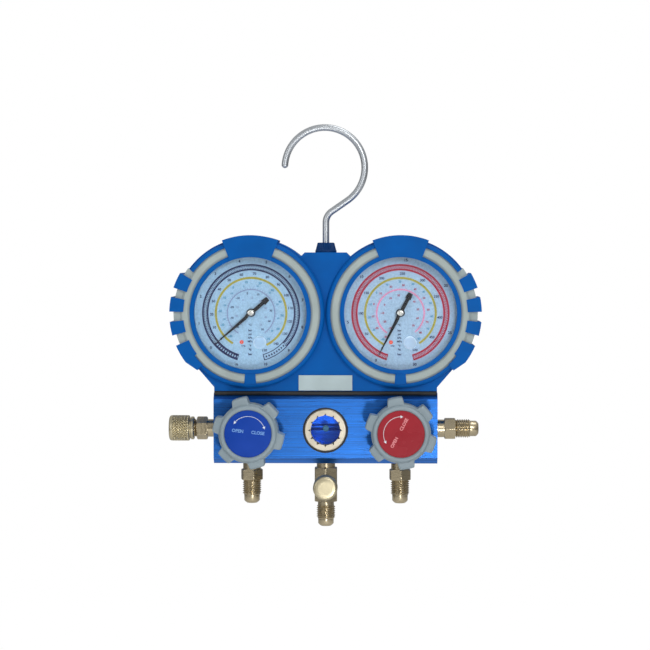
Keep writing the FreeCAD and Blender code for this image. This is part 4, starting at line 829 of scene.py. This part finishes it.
def high_face(middle):
    """Red gauge: a crimson chequered band, an olive arc, a pink arc and rows of small numbers."""
    zero = SCALE_START - 11
    crimson = Print(middle, DIAL_FACE)
    crimson.arc(28.1, BAND_OUT, SCALE_END, SCALE_START)
    crimson.arc(BAND_IN, 26.5, SCALE_END, SCALE_START)
    crimson.dashes(27.3, 28.1, SCALE_END, SCALE_START, 2.1, 0.6)
    crimson.dashes(26.5, 27.35, SCALE_END, SCALE_START, 2.1, 0.6, 0.5)
    crimson.arc(25.45, BAND_OUT, SCALE_START - 0.8, SCALE_START)
    crimson.arc(25.45, BAND_OUT, SCALE_END, SCALE_END + 0.8)
    crimson.done("high_dial_crimson_print", "manifold", CRIMSON)
    navy = Print(middle, DIAL_FACE)
    around_dial(navy, range(0, 35, 5), OUTER_NUMBERS, zero, SCALE_END, 2.3)
    low_end(navy, -1)
    around_dial(navy, range(0, 550, 50), INNER_NUMBERS, zero, SCALE_END + 6, 2.1)
    unit_column(navy)
    navy.done("high_dial_navy_print", "manifold", NAVY)
    olive = Print(middle, DIAL_FACE)
    olive.arc(20.3, 21.6, -58, 242)
    olive.done("high_dial_olive_print", "manifold", OLIVE)
    pink = Print(middle, DIAL_FACE)
    pink.arc(13.6, 14.4, -52, 236)
    pink.dashes(14.4, 15.2, -52, 236, 5.76, 0.14)
    pink.done("high_dial_pink_print", "manifold", PINK_INK)
    plum = Print(middle, DIAL_FACE)
    around_dial(plum, range(-30, 90, 10), 16.6, 238, -44, 1.7)
    around_dial(plum, range(-30, 80, 10), 10.6, 236, -44, 1.6)
    plum.done("high_dial_plum_print", "manifold", CRIMSON)
    teal = Print(middle, DIAL_FACE)
    around_dial(teal, range(-40, 90, 10), 18.7, 236, -54, 1.7)
    teal.done("high_dial_teal_print", "manifold", TEAL_INK)


# the red mark on a dial and the plug in its glass stand this far aside of the hub and below it
MARK_ASIDE = 5.6
MARK_DROP = 17.2
PLUG_PROFILE = (
    (0.0, 14.95), (3.75, 14.95), (3.8, 15.2), (3.6, 15.5), (3.1, 15.65), (2.9, 15.45), (0.0, 15.4),
)
HUB_PROFILE = (
    (0.0, 9.95), (2.0, 9.95), (2.05, 10.15), (1.9, 10.45), (1.5, 10.65), (0.9, 10.75), (0.0, 10.78),
)

for side_word, sign, face in (("low", -1, low_face), ("high", 1, high_face)):
    middle = (sign * SIDE, 0, GAUGE)
    face(middle)
    mark = Print((middle[0] - MARK_ASIDE, 0, GAUGE - MARK_DROP), DIAL_FACE)
    mark.arc(0.25, 1.15, 0, 360)
    mark.done(side_word + "_dial_red_mark", "manifold", RED_INK)
    plug_middle = (middle[0] + MARK_ASIDE, 0, GAUGE - MARK_DROP)
    lathe(side_word + "_adjuster_plug", PLUG_PROFILE, plug_middle, "manifold", FROSTED)
    bridge = Print(middle, 15.3, 2.25)
    bridge.arc(35.7, 41.8, -94.9, -85.1)
    bridge.done(side_word + "_ring_bridge", "manifold", FINISHES["boot_blue"])
    lathe(side_word + "_hub_cap", HUB_PROFILE, middle, side_word + "_needle", HUB_METAL, 48)


# printed handwheel discs

DISC_FACE = 40.4
ARROW_RADIUS = 10.18


def disc_print(side_word, middle, turn, words_ink):
    """Curved double arrow over the words OPEN and CLOSE, turned as the wheel stands."""
    body = side_word + "_handwheel"
    arrow = Print(middle, DISC_FACE)
    start, end = 30 + turn, 142 + turn
    arrow.arc(10.05, 10.32, start, end)
    for angle, toward in ((start, -1), (end, 1)):
        point, foot = math.radians(angle + toward * 9), math.radians(angle)
        head = ((ARROW_RADIUS, point), (11.0, foot), (ARROW_RADIUS, foot), (9.3, foot))
        arrow.slab([(radius * math.cos(lean), radius * math.sin(lean)) for radius, lean in head])
    arrow.done(side_word + "_disc_arrow", body, WHITE_INK)
    words = Print(middle, DISC_FACE)
    lean = math.radians(turn)
    rise = 1.1
    for text, aside in (("OPEN", -6.1), ("CLOSE", 5.7)):
        x = aside * math.cos(lean) - rise * math.sin(lean)
        y = aside * math.sin(lean) + rise * math.cos(lean)
        words.word(text, x, y, 2.6, turn)
    words.done(side_word + "_disc_words", body, words_ink)


disc_print("low", LOW_WHEEL, -6, PALE_BLUE_INK)
disc_print("high", HIGH_WHEEL, 62, PALE_RED_INK)


# sight glass: the moisture indicator behind it, the dark gasket where the notches of its ring end,
# and a thin dark ring round it, a painted shadow of the gap round the retaining ring

SIGHT = (0, 0, AXIS)
RUBBER = FINISHES["seal_rubber"]
lathe("moisture_indicator", (
    (0.0, -1.5), (1.4, -1.5), (1.4, 0.2), (1.9, 0.4), (1.9, 1.0), (1.7, 1.2), (0.0, 1.2),
), SIGHT, "manifold", SPOT)
lathe("sight_glass_gasket", (
    (8.9, 11.62), (10.3, 11.62), (10.3, 11.72), (8.9, 11.72),
), SIGHT, "manifold", RUBBER)
# painted shadow: a dark ring in the gap round the retaining ring
lathe("sight_glass_shadow_ring", (
    (12.5, 14.9), (13.5, 14.9), (13.45, 15.12), (12.55, 15.12),
), SIGHT, "manifold", RUBBER, 96)


# dark strip along the block under the boot's foot, a painted shadow of the boot's overhang

def foot_strip():
    """Painted shadow under the boot's foot: a dark bar along the block, an oval 2.0 mm deep and 2.6
    mm high, with flat ends.
    """
    count = 24
    turn = np.radians(ring(count))
    ends = np.array((-66.0, -66.0, 66.0, 66.0))[:, None]
    size = np.array((0.0, 1.0, 1.0, 0.0))[:, None]
    grid = np.stack((np.repeat(ends, count, 1), size * np.cos(turn), 1.3 * size * np.sin(turn)), -1)
    mesh = grid_mesh("boot_foot_shadow_strip", grid + (0, -13.0, BLOCK_HIGH[2] - 0.1))
    # the dark bar paints the boot's shadow on the block's top edge
    piece("boot_foot_shadow_strip", mesh, "manifold", RUBBER, 60)


foot_strip()


# camera, lamps and surroundings

scene = bpy.context.scene
scene.view_settings.view_transform = "Standard"


def aim(thing, place, target):
    """Put a lamp or camera at a place, looking at a target."""
    thing.location = place
    thing.rotation_euler = (Vector(target) - Vector(place)).to_track_quat("-Z", "Y").to_euler()


def camera():
    """Camera 1.2 m from the manifold, 2 degrees above and 1.3 degrees to the right of straight on."""
    lens = bpy.data.cameras.new("camera")
    lens.lens = 110.8
    lens.sensor_width = 36
    seen = bpy.data.objects.new("camera", lens)
    scene.collection.objects.link(seen)
    target = np.array((-0.57, 0, AXIS + 62)) * MM
    azimuth, elevation = math.radians(1.3), math.radians(2.0)
    level = math.cos(elevation)
    away = (math.sin(azimuth) * level, -math.cos(azimuth) * level, math.sin(elevation))
    aim(seen, target + 1.2 * np.array(away), target)
    scene.camera = seen


def lamp(name, place, size, power, target=(0, 0, -0.12), height=None):
    """Area lamp, a square or of its own height, aimed at a target."""
    light = bpy.data.lights.new(name, "AREA")
    light.shape = "RECTANGLE"
    light.size = size
    light.size_y = height or size
    light.energy = power
    holder = bpy.data.objects.new(name, light)
    scene.collection.objects.link(holder)
    aim(holder, place, target)


def shader_node(tree, kind, **sockets):
    """New shader node of a tree, with some of its inputs set."""
    made = tree.nodes.new("ShaderNode" + kind)
    for socket, amount in sockets.items():
        made.inputs[socket.replace("_", " ")].default_value = amount
    return made


def studio_world():
    """White world for the camera and behind glass, and a sky that brightens upwards for the rest."""
    world = bpy.data.worlds.new("studio")
    scene.world = world
    world.use_nodes = True
    tree = world.node_tree
    glow = tree.nodes["Background"]
    glow.inputs["Color"].default_value = (1, 1, 1, 1)
    path = shader_node(tree, "LightPath")
    seen = shader_node(tree, "Math")
    seen.operation = "MAXIMUM"
    tree.links.new(path.outputs["Is Camera Ray"], seen.inputs[0])
    tree.links.new(path.outputs["Is Transmission Ray"], seen.inputs[1])
    direction = shader_node(tree, "TexCoord")
    split = shader_node(tree, "SeparateXYZ")
    sky = shader_node(tree, "MapRange", From_Min=-0.15, From_Max=0.7, To_Min=0.16, To_Max=0.55)
    strength = shader_node(tree, "MapRange", To_Max=1.0)
    tree.links.new(direction.outputs["Generated"], split.inputs[0])
    tree.links.new(split.outputs["Z"], sky.inputs["Value"])
    tree.links.new(sky.outputs["Result"], strength.inputs["To Min"])
    tree.links.new(seen.outputs[0], strength.inputs["Value"])
    tree.links.new(strength.outputs["Result"], glow.inputs["Strength"])


def pale_floor():
    """Floor 0.4 m below the part, mostly a glow of its own where the camera sees it."""
    level = cad_box[0][2] - 0.4
    mesh = bpy.data.meshes.new("floor")
    corners = [(x, y, level) for x, y in ((-2, -2), (2, -2), (2, 2), (-2, 2))]
    mesh.from_pydata(corners, [], [(0, 1, 2, 3)])
    floor = bpy.data.objects.new("floor", mesh)
    scene.collection.objects.link(floor)
    paint = bpy.data.materials.new("floor_white")
    paint.use_nodes = True
    tree = paint.node_tree
    shader = tree.nodes["Principled BSDF"]
    shader.inputs["Base Color"].default_value = (0.9, 0.9, 0.9, 1)
    shader.inputs["Roughness"].default_value = 0.9
    path = shader_node(tree, "LightPath")
    glow = shader_node(tree, "Emission", Strength=1.06)
    mix = shader_node(tree, "MixShader")
    share = shader_node(tree, "Math")
    share.operation = "MULTIPLY"
    share.inputs[1].default_value = 0.9
    tree.links.new(path.outputs["Is Camera Ray"], share.inputs[0])
    tree.links.new(share.outputs[0], mix.inputs[0])
    tree.links.new(shader.outputs["BSDF"], mix.inputs[1])
    tree.links.new(glow.outputs["Emission"], mix.inputs[2])
    tree.links.new(mix.outputs["Shader"], tree.nodes["Material Output"].inputs["Surface"])
    mesh.materials.append(paint)


camera()
lamp("key", (0.38, -1.2, 0.3), 0.36, 4.4)
lamp("fill", (-0.9, -0.9, 0.1), 0.7, 2.0)
lamp("top", (0.35, -0.05, 0.9), 0.5, 2.4)
lamp("face", (0.15, -1.2, -0.5), 0.14, 2.3, (0.03, 0, AXIS * MM), 0.1)
studio_world()
pale_floor()
